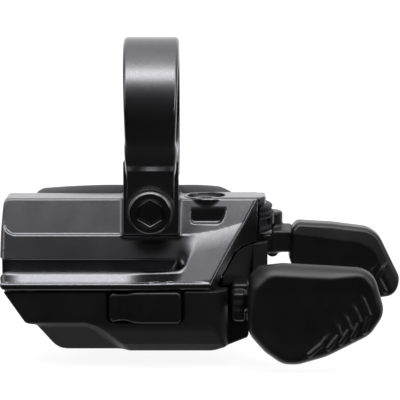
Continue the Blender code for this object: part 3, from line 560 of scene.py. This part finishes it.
def cover_shell(x, y, z):
    """The rear cover's outside, with its hollow."""
    body = rmax(poly(x, z, arc_corners(COVER)), poly(x, y, arc_corners(COVER_PLAN)), 0.6)
    # A low crown along the top, falling towards the front
    crown = CROWN_TOP - CROWN_FALL * (y - CROWN_Y) ** 2 * (y < CROWN_Y)
    body = rmax(body, (z - crown) * 0.98, 0.5)
    for point, normal, r in COVER_SLOPES:
        body = rmax(body, plane(x, y, z, point, normal), r)
    hollow = rmax(poly(x, z, COVER_HOLLOW), poly(x, y, HOLLOW_PLAN), 0.2)
    hollow = np.maximum(hollow, plane(x, y, z, (0, 6.3, -13.3), (0, 1, 0.9)))
    hollow = np.maximum(hollow, plane(x, y, z, (0, 6.5, -38.0), (0, 1, -0.8)))
    return carve(body, hollow, 0.1)


def cover(x, y, z):
    """The rear cover, with bays for the bar, the levers and the battery."""
    body = cover_shell(x, y, z)
    bay = np.minimum(circle(x, y, PIVOT, LEVER_BAY_R), LEVER_BAY_X - x)
    body = carve(body, np.maximum(bay, z - LEVER_BAY_TOP), 0.35)
    gap = np.maximum(np.sqrt(y * y + z * z) - RING_GAP_R, np.abs(x) - RING_GAP_HALF)
    body = carve(body, gap, 0.3)
    for screw in (*UPPER_SCREWS, *LOWER_SCREWS):
        body = np.minimum(body, rmax(circle(x, z, screw, COVER_POST_R), slab(y, *COVER_POST_Y), 0.1))
    body = carve(body, np.maximum(circle(x, z, CELL, LID_SEAT_R), LID_SEAT_Y - y), 0.25)
    body = carve(body, np.maximum(circle(x, z, CELL, CELL_BAY_R), CELL_BAY_Y - y), 0.1)
    for screw in (*UPPER_SCREWS, *LOWER_SCREWS):
        body = carve(body, circle(x, z, screw, SCREW_HOLE_R) + 0 * y, 0.1)
        body = carve(body, np.maximum(circle(x, z, screw, SCREW_SINK_R), SCREW_SINK_Y - y), 0.25)
    return rmax(body, COVER_FRONT - y, 0.25)


GUARD = [
    (11.9, -27.9), (12.0, -26.2), (14.4, -22.4), (15.9, -21.7), (19.9, -21.4), (19.9, -26.0),
    (17.6, -27.9),
]
DECK_R, DECK_Z, DECK_FOOT = 5.9, (-20.1, -15.3), ((6.6, 14.9), (-4.4, 1.2), (-20.09, -17.6))
DECK_SIDE, DECK_NOTCH_R, DECK_NOTCH_Z = 18.3, 4.6, -17.3
DECK_RIDGES = (-16.35, -17.35)
DECK_WINDOW, DECK_WINDOW_Z = (-5.2, -2.0), (-19.2, -17.9)
GUARD_PLAN = [(11.9, -11.7), (17.2, -4.0), (19.9, -2.9), (19.9, -1.9), (11.9, -1.9)]


def guard(x, y, z):
    """The block under the seam, in front of the upper lever."""
    body = rmax(poly(x, z, GUARD), poly(x, y, GUARD_PLAN), 0.25)
    body = carve(body, np.maximum(-side_plane(x, y, z, 0.25), x - 17.2), 0.2)
    body = carve(body, circle(x, y, PIVOT, 4.6) + 0 * z, 0.2)
    return carve(body, circle(x, y, (8.8, -6.0), 3.6) + 0 * z, 0.2)


def deck(x, y, z):
    """The cap over the levers: ridges round its top, and a window under them."""
    radius = circle(x, y, PIVOT, 0)
    outer = DECK_R - 0.45 * smooth(-15.9, -15.0, z)
    body = rmax(radius - outer, slab(z, *DECK_Z), 0.5)
    body = np.minimum(body, box(x, y, z, *DECK_FOOT, 0.2))
    inside = np.maximum(-side_plane(x, y, z, 1.8), x - DECK_SIDE)
    body = carve(body, inside, 0.2)
    body = carve(body, np.maximum(circle(x, y, BODY_SCREW, DECK_NOTCH_R), DECK_NOTCH_Z - z), 0.1)
    for height in DECK_RIDGES:
        groove = np.maximum(slab(z, height - 0.16, height + 0.16), 5.45 - radius)
        body = carve(body, np.maximum(groove, 18.35 - x), 0.18)
    turn = np.arctan2(y - PIVOT[1], x - PIVOT[0])
    window = rmax(slab(turn * DECK_R, *DECK_WINDOW), slab(z, *DECK_WINDOW_Z), 0.4)
    body = carve(body, rmax(window, 5.3 - radius, 0.2), 0.2)
    body = carve(body, radius - PIN_HOLE_R, 0.15)
    return carve(body, circle(x, y, BODY_SCREW, BODY_SCREW_HOLE_R) + 0 * z, 0.1)


# ---------------------------------------------------------------- levers

HUB_R, HUB_HOLE_R = 3.7, 2.1
UPPER_Z, LOWER_Z = (-24.0, -20.4), (-31.6, -28.4)
UPPER_SPRING_Z, LOWER_SPRING_Z = (-27.9, -23.8), (-33.9, -31.4)
SPRING_CUP_R = 3.05
PAD_SCREW_R, PAD_THREAD_R = 1.05, 0.95
UPPER_REACH = ((20.6, 24.2), (-0.9, 3.4), (-23.7, -19.0))
LOWER_LIFT = ((13.6, 16.4), (-11.0, -4.0), (-31.0, -27.2))
STOP_BOSS, STOP_BOSS_R, STOP_BOSS_Z = (20.2, 3.2), 2.4, (-21.0, -17.0)
NUB, NUB_R, NUB_Y = (20.8, -23.6), 1.1, (0.2, 3.4)
KNOB, KNOB_R = (14.7, -13.2, -30.3), 1.0
HEEL_Z = (-33.0, -28.2)
TAIL = [(12.2, 3.6, 0), (7.4, 2.4, 0.4), (7.4, 0.8, 0.4), (11.6, 0.2, 0)]
UPPER_ARM = [
    *TAIL, (13.2, -1.0, 0), (20.8, -0.9, 1.0), (22.9, 0.6, 1.0), (23.2, 3.5, 0.4), (30.6, 3.7, 0.6),
    (30.6, 5.6, 0.6), (18.6, 6.2, 2.0),
]
LOWER_ARM = [
    *TAIL, (13.6, -3.0, 0), (13.6, -11.2, 1.2), (15.4, -12.2, 0.5), (24.6, -12.2, 0.6),
    (24.6, -10.2, 0.6), (19.2, -10.2, 2.0), (18.2, 1.0, 0),
]
HEEL = [(13.6, -11.0, 0.4), (13.6, -13.9, 0.8), (15.7, -13.9, 0.4), (15.7, -11.0, 0.4)]
UPPER_SCREW, LOWER_SCREW = (27.6, -22.2), (22.4, -30.0)


def arm(x, y, z, outline, low, high):
    """A flat arm with its hub on the pivot pin."""
    body = rmax(poly(x, y, arc_corners(outline)), slab(z, low + 0.15, high - 0.15), 0.45)
    hub = rmax(circle(x, y, PIVOT, HUB_R), slab(z, low, high), 0.3)
    return carve(rmin(body, hub, 0.5), circle(x, y, PIVOT, HUB_HOLE_R) + 0 * z, 0.2)


def spring_cup(x, y, z, height):
    """The half sleeve that hides the spring from the front."""
    radius = circle(x, y, PIVOT, 0)
    sleeve = rmax(slab(radius, SPRING_CUP_R, HUB_R), slab(z, *height), 0.12)
    return rmax(sleeve, y - PIVOT[1], 0.12)


def upper_arm(x, y, z):
    """The upper lever's arm, with its stop boss and the reach behind its pad."""
    body = arm(x, y, z, UPPER_ARM, *UPPER_Z)
    # It reaches up beside the deck, and out to the pad
    reach = box(x, y, z, *UPPER_REACH, 0.5)
    reach = rmax(reach, plane(x, y, z, (0, -0.9, -20.0), (0, -0.2, 1)), 0.4)
    body = rmin(body, reach, 0.5)
    boss = rmax(circle(x, y, STOP_BOSS, STOP_BOSS_R), slab(z, *STOP_BOSS_Z), 0.5)
    boss = carve(boss, circle(x, y, PIVOT, 6.25) + 0 * z, 0.2)
    body = rmin(body, boss, 0.4)
    nub = rmax(circle(x, z, NUB, NUB_R), slab(y, *NUB_Y), 0.3)
    body = rmin(body, nub, 0.3)
    body = np.minimum(body, spring_cup(x, y, z, UPPER_SPRING_Z))
    body = carve(body, circle(x, y, PIVOT, HUB_HOLE_R) + 0 * z, 0.2)
    return carve(body, np.maximum(circle(x, z, UPPER_SCREW, PAD_SCREW_R), -y), 0.15)


def lower_arm(x, y, z):
    """The lower lever's arm, lifted at the bend and ending in front of the housing."""
    body = arm(x, y, z, LOWER_ARM, *LOWER_Z)
    lift = box(x, y, z, *LOWER_LIFT, 0.6)
    body = rmin(body, lift, 0.6)
    body = rmin(body, rmax(poly(x, y, arc_corners(HEEL)), slab(z, *HEEL_Z), 0.5), 0.5)
    knob = np.sqrt((x - KNOB[0]) ** 2 + (y - KNOB[1]) ** 2 + (z - KNOB[2]) ** 2) - KNOB_R
    body = rmin(body, knob, 0.4)
    body = np.minimum(body, spring_cup(x, y, z, LOWER_SPRING_Z))
    return carve(body, np.maximum(circle(x, z, LOWER_SCREW, PAD_SCREW_R), y), 0.15)


UPPER_PAD = [
    (23.6, -24.6, 1.0), (24.0, -19.6, 1.0), (25.0, -18.45, 1.2), (31.0, -18.8, 0), (37.3, -19.6, 4.0),
    (39.2, -20.8, 4.0), (42.9, -28.3, 2.5), (42.2, -31.2, 2.5), (36.0, -32.2, 4.0), (25.5, -30.0, 3.0),
]
UPPER_FACE = [
    (20.0, -40.0, 0), (20.0, -20.35, 0), (24.6, -20.3, 0), (35.8, -21.8, 4.0), (38.2, -23.1, 3.0),
    (41.6, -30.4, 0), (40.0, -45.0, 0),
]
UPPER_RIBS = [
    [(40.3, -25.4), (38.9, -28.0), (40.2, -30.4)],
    [(38.7, -25.6), (37.2, -28.2), (38.6, -30.9)],
]
LOWER_PAD = [
    (16.05, -28.0, 2.0), (16.5, -25.0, 1.5), (18.0, -23.6, 2.0), (22.0, -23.15, 0), (35.2, -23.9, 4.0),
    (37.2, -25.2, 3.5), (39.0, -31.3, 3.5), (36.6, -35.0, 4.0), (29.0, -38.9, 8.0), (24.6, -40.1, 5.0),
    (22.0, -40.1, 3.5), (19.0, -38.0, 6.0), (16.2, -34.8, 3.5),
]
LOWER_FACE = [
    (17.2, -31.0, 0), (18.0, -26.9, 2.0), (20.0, -24.9, 2.0), (30.0, -25.4, 6), (34.9, -24.9, 2.0),
    (36.4, -26.4, 2.5), (37.9, -31.4, 3.0), (35.8, -34.4, 4.0), (29.8, -37.5, 8.0), (24.5, -39.2, 4.0),
    (22.4, -39.2, 3.0), (19.9, -37.4, 5.0), (17.2, -34.4, 3.0),
]
# (face Y, thickness, bevel depth, bevel power) of each pad
UPPER_FORM, LOWER_FORM = (-1.4, 4.6, 0.38, 1.05), (-16.1, 3.6, 0.72, 1.5)
FACE_SAG, RIB_HEIGHT, PAD_ROUND = 0.25, 0.34, 0.7
LOWER_RIBS = [
    [(34.7, -27.8), (36.2, -31.4), (35.4, -34.2)],
    [(33.4, -29.5), (34.7, -32.6), (33.4, -35.2)],
    [(32.1, -31.1), (33.1, -33.7), (31.5, -36.1)],
    [(30.8, -32.6), (31.4, -34.7), (29.5, -37.0)],
    [(29.7, -34.4), (28.5, -36.3), (26.4, -38.1)],
]


def stroke(u, v, line):
    """Distance to an open line."""
    best = 1e9
    for (ax, ay), (bx, by) in zip(line, line[1:]):
        ex, ey = bx - ax, by - ay
        t = np.clip(((u - ax) * ex + (v - ay) * ey) / (ex * ex + ey * ey), 0, 1)
        best = np.minimum(best, (u - ax - ex * t) ** 2 + (v - ay - ey * t) ** 2)
    return np.sqrt(best)


def pad(x, y, z, outline, inner, ribs, form):
    """A finger pad: its face sinks in from a wide bevel, and ribs stand up from it."""
    face, depth, bulge, bend = form
    edge = poly(x, z, arc_corners(outline))
    rim = poly(x, z, arc_corners(inner))
    lean = np.clip(rim + 0.1, 0.0, 3.0)
    top = face + bulge * lean**bend
    top = top - FACE_SAG * smooth(3.0, 0.0, -rim)
    for line in ribs:
        height = RIB_HEIGHT * smooth(0.0, 1.6, line[0][1] + 0.3 - z)
        top = top - height * smooth(0.6, 0.1, stroke(x, z, line))
    front = (top - y) * 0.75
    body = rmax(edge, front, PAD_ROUND)
    return rmax(body, y - face - depth, PAD_ROUND)


def upper_pad(x, y, z):
    """The upper lever's pad."""
    body = pad(x, y, z, UPPER_PAD, UPPER_FACE, UPPER_RIBS, UPPER_FORM)
    return carve(body, np.maximum(circle(x, z, UPPER_SCREW, PAD_THREAD_R), 0.6 - y), 0.1)


def lower_pad(x, y, z):
    """The lower lever's pad."""
    body = pad(x, y, z, LOWER_PAD, LOWER_FACE, LOWER_RIBS, LOWER_FORM)
    return carve(body, np.maximum(circle(x, z, LOWER_SCREW, PAD_THREAD_R), -15.0 - y), 0.1)


# ---------------------------------------------------------------- button, bolt and lid

BUTTON = [
    (BUTTON_X[0], BUTTON_Z[0], 1.2), (4.6, BUTTON_Z[0], 0), (BUTTON_X[1], -32.6, 0.3),
    (BUTTON_X[1], BUTTON_Z[1], 0.8), (BUTTON_X[0], BUTTON_Z[1], 1.0),
]
STEM_R, STEM_HOLE_R, STEM_END = 1.2, 2.35, 6.6
BUTTON_CORE = ((-5.4, 3.9), (BUTTON_Y + 2.5, BUTTON_Y + 3.9), (-32.4, -29.4))
BUTTON_FLANGE = ((-7.8, 6.3), (BUTTON_Y + 3.4, BUTTON_Y + 4.1), (-33.9, -28.3))
HEAD_SEAT, HEAD_HEIGHT, HEAD_R, HEAD_FACE_R, HEAD_DISH_R = -12.85, 2.6, 3.65, 3.25, 3.05
SOCKET_HALF, SOCKET_DEPTH = 1.8, 1.9
SHANK_R, SHANK_LENGTH = 2.2, 11.0
LID_R, LID_Y = 9.2, (7.5, 9.6)
LID_RIM, LID_RIM_Y = (5.6, 7.2), (6.9, 7.7)
LID_TRACK_R = 7.6
LID_SLOT_HALF = (4.8, 0.8)


def button(x, y, z):
    """The button: its cap in the window, its flange behind it and its stem."""
    # The face dips near the left end, and both long edges follow it
    wave = 0.55 * smooth(-6.6, -5.2, x) * smooth(-2.6, -4.4, x)
    wave = wave - 0.15 * smooth(-3.2, -1.2, x)
    edge = poly(x, z, arc_corners(BUTTON)) + 0.5 * wave
    body = rmax(edge, slab(y, BUTTON_Y + 0.15 + wave, BUTTON_Y + 3.1), 0.4)
    inner = np.minimum(box(x, y, z, *BUTTON_CORE, 0.2), box(x, y, z, *BUTTON_FLANGE, 0.2))
    body = np.minimum(body, inner)
    body = carve(body, np.maximum(circle(x, z, STEM, STEM_HOLE_R), BUTTON_Y + 2.9 - y), 0.1)
    stem = rmax(circle(x, z, STEM, STEM_R), slab(y, BUTTON_Y + 2.3, BUTTON_Y + STEM_END), 0.2)
    return np.minimum(body, stem)


def bolt(x, y, z):
    """The clamp bolt, from the rim of its head to the end of its shank."""
    radius = circle(x, z, BOLT, 0)
    face = HEAD_SEAT - HEAD_HEIGHT
    head = rmax(radius - HEAD_R, slab(y, face, HEAD_SEAT), 0.1)
    head = rmax(head, (radius - HEAD_FACE_R - (y - face)) * 0.7, 0.1)
    # The face dishes in from the rim to the six-sided socket
    dish = (y - face + 0.15) * 0.8 - 0.32 * (3.1 - radius)
    head = carve(head, rmax(radius - HEAD_DISH_R, dish, 0.15), 0.12)
    socket = -1e9
    for k in range(6):
        turn = math.radians(60 * k)
        across = (x - BOLT[0]) * math.cos(turn) + (z - BOLT[1]) * math.sin(turn)
        socket = np.maximum(socket, across - SOCKET_HALF)
    head = carve(head, np.maximum(socket, y - face - SOCKET_DEPTH), 0.2)
    shank = rmax(radius - SHANK_R, slab(y, HEAD_SEAT - 0.5, HEAD_SEAT + SHANK_LENGTH), 0.4)
    return rmin(head, shank, 0.2)


def lid(x, y, z):
    """The battery cover, with a coin slot and a groove round its rim."""
    radius = circle(x, z, CELL, 0)
    body = rmax(radius - LID_R, slab(y, *LID_Y), 0.45)
    rim = rmax(radius - LID_RIM[1], LID_RIM[0] - radius, 0.1)
    body = rmin(body, np.maximum(rim, slab(y, *LID_RIM_Y)), 0.1)
    slot = rmax(np.abs(x - CELL[0]) - LID_SLOT_HALF[0], np.abs(z - CELL[1]) - LID_SLOT_HALF[1], 0.7)
    body = carve(body, rmax(slot, 8.4 - y, 0.2), 0.25)
    track = np.abs(radius - LID_TRACK_R) - 0.2
    body = carve(body, rmax(track, 9.25 - y, 0.1), 0.12)
    return body


# ---------------------------------------------------------------- pieces

PIECES = [
    # name, field, low corner, high corner, pitch, share of faces kept,
    # body, slot, nodes
    ("clamp_body", bracket, (-25.8, -14.2, -27.9), (19.8, 13.6, 13.6), 0.27, 0.45,
     "body", "painted_alloy", ["clamp_bracket"]),
    ("housing_tub", housing, (-24.9, -14.4, -39.4), (20.0, 1.5, -27.5), 0.25, 0.45,
     "body", "black_plastic", ["lower_housing"]),
    ("rear_shell", cover, (-21.2, 1.4, -38.8), (15.1, 9.9, -12.4), 0.27, 0.4,
     "body", "grey_plastic", ["rear_cover"]),
    ("lever_guard", guard, (11.6, -12.0, -28.1), (20.2, -1.6, -21.0), 0.2, 0.5,
     "body", "black_plastic", ["side_block"]),
    ("pin_cap", deck, (6.3, -5.0, -20.4), (21.1, 8.4, -15.0), 0.17, 0.5,
     "body", "grey_plastic", ["lever_deck"]),
    ("upper_arm", upper_arm, (7.1, -1.9, -28.1), (31.0, 6.6, -16.7), 0.2, 0.5,
     "upper_lever", "lever_plastic", ["upper_lever_arm"]),
    ("upper_pad", upper_pad, (23.2, -2.4, -32.7), (43.4, 3.5, -18.1), 0.2, 0.6,
     "upper_lever", "lever_plastic", ["upper_paddle"]),
    ("lower_arm", lower_arm, (7.1, -14.4, -34.1), (25.0, 6.2, -27.0), 0.2, 0.5,
     "lower_lever", "lever_plastic", ["lower_lever_arm"]),
    ("lower_pad", lower_pad, (15.7, -17.0, -40.6), (39.4, -12.2, -22.8), 0.2, 0.6,
     "lower_lever", "lever_plastic", ["lower_paddle"]),
    ("button_cap", button, (-8.1, -14.6, -34.0), (6.8, -7.2, -27.7), 0.16, 0.5,
     "button", "lever_plastic", ["function_button"]),
    ("strap_bolt", bolt, (-3.8, -15.8, -18.3), (3.8, -1.5, -10.7), 0.13, 0.5,
     "clamp_bolt", "black_steel", ["clamp_bolt"]),
    ("battery_lid", lid, (-16.0, 6.7, -35.7), (3.0, 9.9, -16.7), 0.2, 0.5,
     "battery_cover", "black_plastic", ["battery_cover"]),
]

# ---------------------------------------------------------------- node helpers

COLOUR_OUT = 2  # the colour output of a mix node


def node(tree, kind, **values):
    """A new node; each value sets an input, links a socket to it, or sets a property."""
    new = tree.nodes.new(kind)
    for key, value in values.items():
        if key not in new.inputs:
            setattr(new, key, value)
        elif isinstance(value, bpy.types.NodeSocket):
            tree.links.new(value, new.inputs[key])
        else:
            new.inputs[key].default_value = value
    return new


def spread(tree, value, low, high, to_low=0.0, to_high=1.0):
    """The value's range from low to high, stretched to another range and clamped."""
    new = node(tree, "ShaderNodeMapRange", Value=value)
    new.inputs["From Min"].default_value, new.inputs["From Max"].default_value = low, high
    new.inputs["To Min"].default_value, new.inputs["To Max"].default_value = to_low, to_high
    return new.outputs["Result"]


def blend(tree, factor, a, b, kind="MIX"):
    """A colour between a and b."""
    new = node(tree, "ShaderNodeMix", data_type="RGBA", blend_type=kind, Factor=factor, A=a, B=b)
    return new.outputs[COLOUR_OUT]


def scaled(colour, factor, lift=0.0):
    """The colour made brighter or darker, and opaque."""
    return (*[min(1.0, c * factor + lift) for c in colour], 1)


# ---------------------------------------------------------------- finishes

PATCH_SCALE, PATCH_RANGE = 160.0, (0.3, 0.7)
FLAKE_MM, FLAKE_RANGE = 0.16, (0.72, 0.98)
EDGE_RANGE = (0.53, 0.66)
GLOSS_SPREAD = 0.12
GRAIN_DEPTH = 0.00006

# grain in millimetres, bump as its strength, mottle and speck as shares of the colour
LOOKS = {
    "painted_alloy": dict(colour=(0.23, 0.23, 0.245), rough=0.23, metal=1.0, grain=0.14, bump=0.07,
                          mottle=0.04, wear=0.2, speck=0.15),
    "black_plastic": dict(colour=(0.0195, 0.0195, 0.021), rough=0.5, grain=0.16, bump=0.3,
                          mottle=0.2, wear=0.35),
    "grey_plastic": dict(colour=(0.036, 0.036, 0.046), rough=0.5, grain=0.16, bump=0.3,
                         mottle=0.15, wear=0.35),
    "lever_plastic": dict(colour=(0.0135, 0.0135, 0.0145), rough=0.33, grain=0.14, bump=0.3,
                          mottle=0.2, wear=0.35, sheen=0.85),
    "black_steel": dict(colour=(0.2, 0.2, 0.205), rough=0.17, metal=1.0, grain=0.3, bump=0.06,
                        mottle=0.15, wear=0.3),
    "bright_steel": dict(colour=(0.55, 0.55, 0.56), rough=0.26, metal=1.0, grain=0.12, bump=0.12,
                         mottle=0.1, wear=0.2, stretch=(1, 1, 14)),
    "rubber": dict(colour=(0.012, 0.012, 0.012), rough=0.75, grain=0.2, bump=0.3, mottle=0.25),
    "circuit_green": dict(colour=(0.012, 0.075, 0.03), rough=0.38, grain=0.5, bump=0.2, mottle=0.35),
    "bronze": dict(colour=(0.5, 0.31, 0.13), rough=0.35, metal=1.0, grain=0.1, bump=0.2,
                   mottle=0.15, wear=0.2),
}


def flakes(tree, where, under, colour, speck):
    """Small bright flakes over the colour under them."""
    cells = node(tree, "ShaderNodeTexVoronoi", Vector=where, Scale=1000 / FLAKE_MM)
    split = node(tree, "ShaderNodeSeparateColor", Color=cells.outputs["Color"])
    bright = spread(tree, split.outputs["Red"], *FLAKE_RANGE)
    return blend(tree, bright, under, scaled(colour, 1 + speck))


def worn_edges(tree, patches, under, colour, wear):
    """A paler colour on the sharp edges, in patches."""
    shape = node(tree, "ShaderNodeNewGeometry")
    edge = spread(tree, shape.outputs["Pointiness"], *EDGE_RANGE, 0.0, wear)
    rub = node(tree, "ShaderNodeMath", operation="MULTIPLY")
    tree.links.new(edge, rub.inputs[0])
    tree.links.new(patches, rub.inputs[1])
    return blend(tree, rub.outputs["Value"], under, scaled(colour, 2.4, 0.02))


def finish(name, colour, rough, grain, bump, metal=0.0, mottle=0.12, wear=0.0, stretch=(1, 1, 1),
           speck=0.0, sheen=0.5):
    """A surface with grain in its height, patches in its gloss, and paler worn edges."""
    made = bpy.data.materials.new(name)
    made.use_nodes = True
    tree = made.node_tree
    shader = tree.nodes["Principled BSDF"]
    shader.inputs["Metallic"].default_value = metal
    shader.inputs["Specular IOR Level"].default_value = sheen
    where = node(tree, "ShaderNodeTexCoord").outputs["Object"]
    size = node(tree, "ShaderNodeMapping", Vector=where, Scale=stretch).outputs["Vector"]
    fine = node(tree, "ShaderNodeTexNoise", Vector=size, Scale=1000 / grain, Detail=3.0, Roughness=0.6)
    broad = node(tree, "ShaderNodeTexNoise", Vector=where, Scale=PATCH_SCALE, Detail=4.0, Roughness=0.6)
    patches = broad.outputs["Fac"]
    dark, pale = scaled(colour, 1 - mottle), scaled(colour, 1 + mottle, 0.002)
    paint = blend(tree, spread(tree, patches, *PATCH_RANGE), dark, pale)
    if speck:
        paint = flakes(tree, where, paint, colour, speck)
    if wear:
        paint = worn_edges(tree, patches, paint, colour, wear)
    tree.links.new(paint, shader.inputs["Base Color"])
    gloss = spread(tree, patches, *PATCH_RANGE, rough * (1 - GLOSS_SPREAD), rough * (1 + GLOSS_SPREAD))
    tree.links.new(gloss, shader.inputs["Roughness"])
    relief = node(tree, "ShaderNodeBump", Strength=bump, Distance=GRAIN_DEPTH, Height=fine.outputs["Fac"])
    tree.links.new(relief.outputs["Normal"], shader.inputs["Normal"])
    return made


FINISHES = {name: finish(name, **look) for name, look in LOOKS.items()}

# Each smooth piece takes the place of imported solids; the others keep their own shape
for name, field, low, high, pitch, share, body, slot, nodes in PIECES:
    piece = sculpt(name, field, low, high, pitch, share)
    piece.data.materials.append(FINISHES[slot])
    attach(piece, body)
    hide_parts(*nodes)

replaced = {node_name for row in PIECES for node_name in row[8]}
for name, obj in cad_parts.items():
    if name in replaced:
        continue
    for holder in obj.material_slots:
        key = holder.material.name.split(".")[0] if holder.material else ""
        holder.material = FINISHES.get(key, FINISHES["black_steel"])

# ---------------------------------------------------------------- camera

ELEVATION = math.radians(9)
DISTANCE = 330.0
VIEW_WIDTH = 68.96  # seen across at the aim
AIM = Vector((8.22348, 0, -14.4816 / math.cos(ELEVATION)))
SENSOR = 36
CLIP = (0.01, 100)

camera = bpy.data.objects.new("camera", bpy.data.cameras.new("camera"))
bpy.context.scene.collection.objects.link(camera)
back = Vector((0, -math.cos(ELEVATION), math.sin(ELEVATION)))
camera.location = (AIM + back * DISTANCE) * MM
camera.rotation_mode = "QUATERNION"
camera.rotation_quaternion = (-back).to_track_quat("-Z", "Y")
camera.data.sensor_width = SENSOR
camera.data.lens = SENSOR * DISTANCE / VIEW_WIDTH
camera.data.clip_start, camera.data.clip_end = CLIP
bpy.context.scene.camera = camera
bpy.context.scene.view_settings.view_transform = "Standard"

# ---------------------------------------------------------------- studio

# Sky brightness against angle: 0 is the horizon in front, 90 overhead, 180 the horizon behind
SKY = [
    (0, 0.02), (14, 0.03), (30, 0.05), (43, 0.12), (52, 0.4), (58, 1.15), (66, 1.8), (78, 1.75),
    (88, 1.05), (104, 0.8), (125, 0.7), (148, 0.85), (165, 1.1), (180, 1.1),
]
UNDER = [(0, 0.02), (45, 0.03), (75, 0.4), (105, 0.55), (150, 1.0), (180, 1.05)]
SIDE_FADE, SIDE_LIGHT = (0.4, 0.85), 0.25
WHITE, WARM = (1, 1, 1), (1.0, 0.93, 0.86)
LAMPS = [
    # name, place, size in metres, radiance, colour
    ("front_high", (0, -0.94, 2.32), (2.6, 0.72), 1.6, WHITE),
    ("left_high", (-2.2, -0.7, 1.3), (0.7, 1.5), 0.8, WARM),
    ("right_high", (2.2, -0.5, 1.2), (0.7, 1.5), 0.8, WHITE),
    ("right_low", (2.16, -1.28, 0.8), (0.3, 0.9), 3.2, WHITE),
]
FLOOR_HEIGHT, FLOOR_REACH, FLOOR_GLOW = -0.0415, 30.0, 0.9


def math_node(tree, kind, *values):
    """The result of a sum worked out by a node."""
    new = node(tree, "ShaderNodeMath", operation=kind)
    for socket, value in zip(new.inputs, values):
        if isinstance(value, bpy.types.NodeSocket):
            tree.links.new(value, socket)
        else:
            socket.default_value = value
    return new.outputs[0]


def light_ramp(tree, angle, stops):
    """Brightness against angle, from stops in degrees."""
    ramp = node(tree, "ShaderNodeValToRGB", Fac=angle)
    elements = ramp.color_ramp.elements
    while len(elements) < len(stops):
        elements.new(0.5)
    for element, (degrees, value) in zip(elements, stops):
        element.position = degrees / 180
        element.color = (value, value, value, 1)
    return ramp.outputs["Color"]


def studio_world():
    """A white room, seen by the camera, that lights the object with soft bands from above."""
    world = bpy.data.worlds.new("studio")
    bpy.context.scene.world = world
    world.use_nodes = True
    tree = world.node_tree
    where = node(tree, "ShaderNodeTexCoord").outputs["Generated"]
    split = node(tree, "ShaderNodeSeparateXYZ", Vector=where).outputs
    level = math_node(tree, "ABSOLUTE", split["Z"])
    forward = math_node(tree, "MULTIPLY", split["Y"], -1.0)
    angle = math_node(tree, "DIVIDE", math_node(tree, "ARCTAN2", level, forward), math.pi)
    above = math_node(tree, "GREATER_THAN", split["Z"], 0.0)
    room = blend(tree, above, light_ramp(tree, angle, UNDER), light_ramp(tree, angle, SKY))
    # Less light from the far left and right
    across = math_node(tree, "ABSOLUTE", split["X"])
    dim = spread(tree, across, *SIDE_FADE, 1.0, SIDE_LIGHT)
    lit = blend(tree, 1.0, room, dim, "MULTIPLY")
    seen = node(tree, "ShaderNodeLightPath").outputs["Is Camera Ray"]
    final = blend(tree, seen, lit, (*WHITE, 1))
    tree.links.new(final, tree.nodes["Background"].inputs["Color"])


def lamp(name, place, size, radiance, colour):
    """A soft box that faces the object, with its brightness as a radiance."""
    data = bpy.data.lights.new(name, "AREA")
    data.shape = "RECTANGLE"
    data.size, data.size_y = size
    data.energy = radiance * math.pi * size[0] * size[1]
    data.color = colour
    obj = bpy.data.objects.new(name, data)
    bpy.context.scene.collection.objects.link(obj)
    obj.location = place
    obj.rotation_mode = "QUATERNION"
    obj.rotation_quaternion = (-Vector(place)).to_track_quat("-Z", "Y")


def paper_floor():
    """A wide sheet of white paper under the object."""
    mesh = bpy.data.meshes.new("floor")
    corners = [(-1, -1), (1, -1), (1, 1), (-1, 1)]
    spots = [(a * FLOOR_REACH, b * FLOOR_REACH, FLOOR_HEIGHT) for a, b in corners]
    mesh.from_pydata(spots, [], [(0, 1, 2, 3)])
    made = bpy.data.objects.new("floor", mesh)
    bpy.context.scene.collection.objects.link(made)
    paper = finish("floor", (0.2, 0.2, 0.2), rough=0.8, grain=1.0, bump=0.05, mottle=0.01)
    shader = paper.node_tree.nodes["Principled BSDF"]
    shader.inputs["Emission Color"].default_value = (*WHITE, 1)
    shader.inputs["Emission Strength"].default_value = FLOOR_GLOW
    mesh.materials.append(paper)
    made.visible_diffuse = False
    made.visible_glossy = False
    return made


studio_world()
for row in LAMPS:
    lamp(*row)
floor = paper_floor()
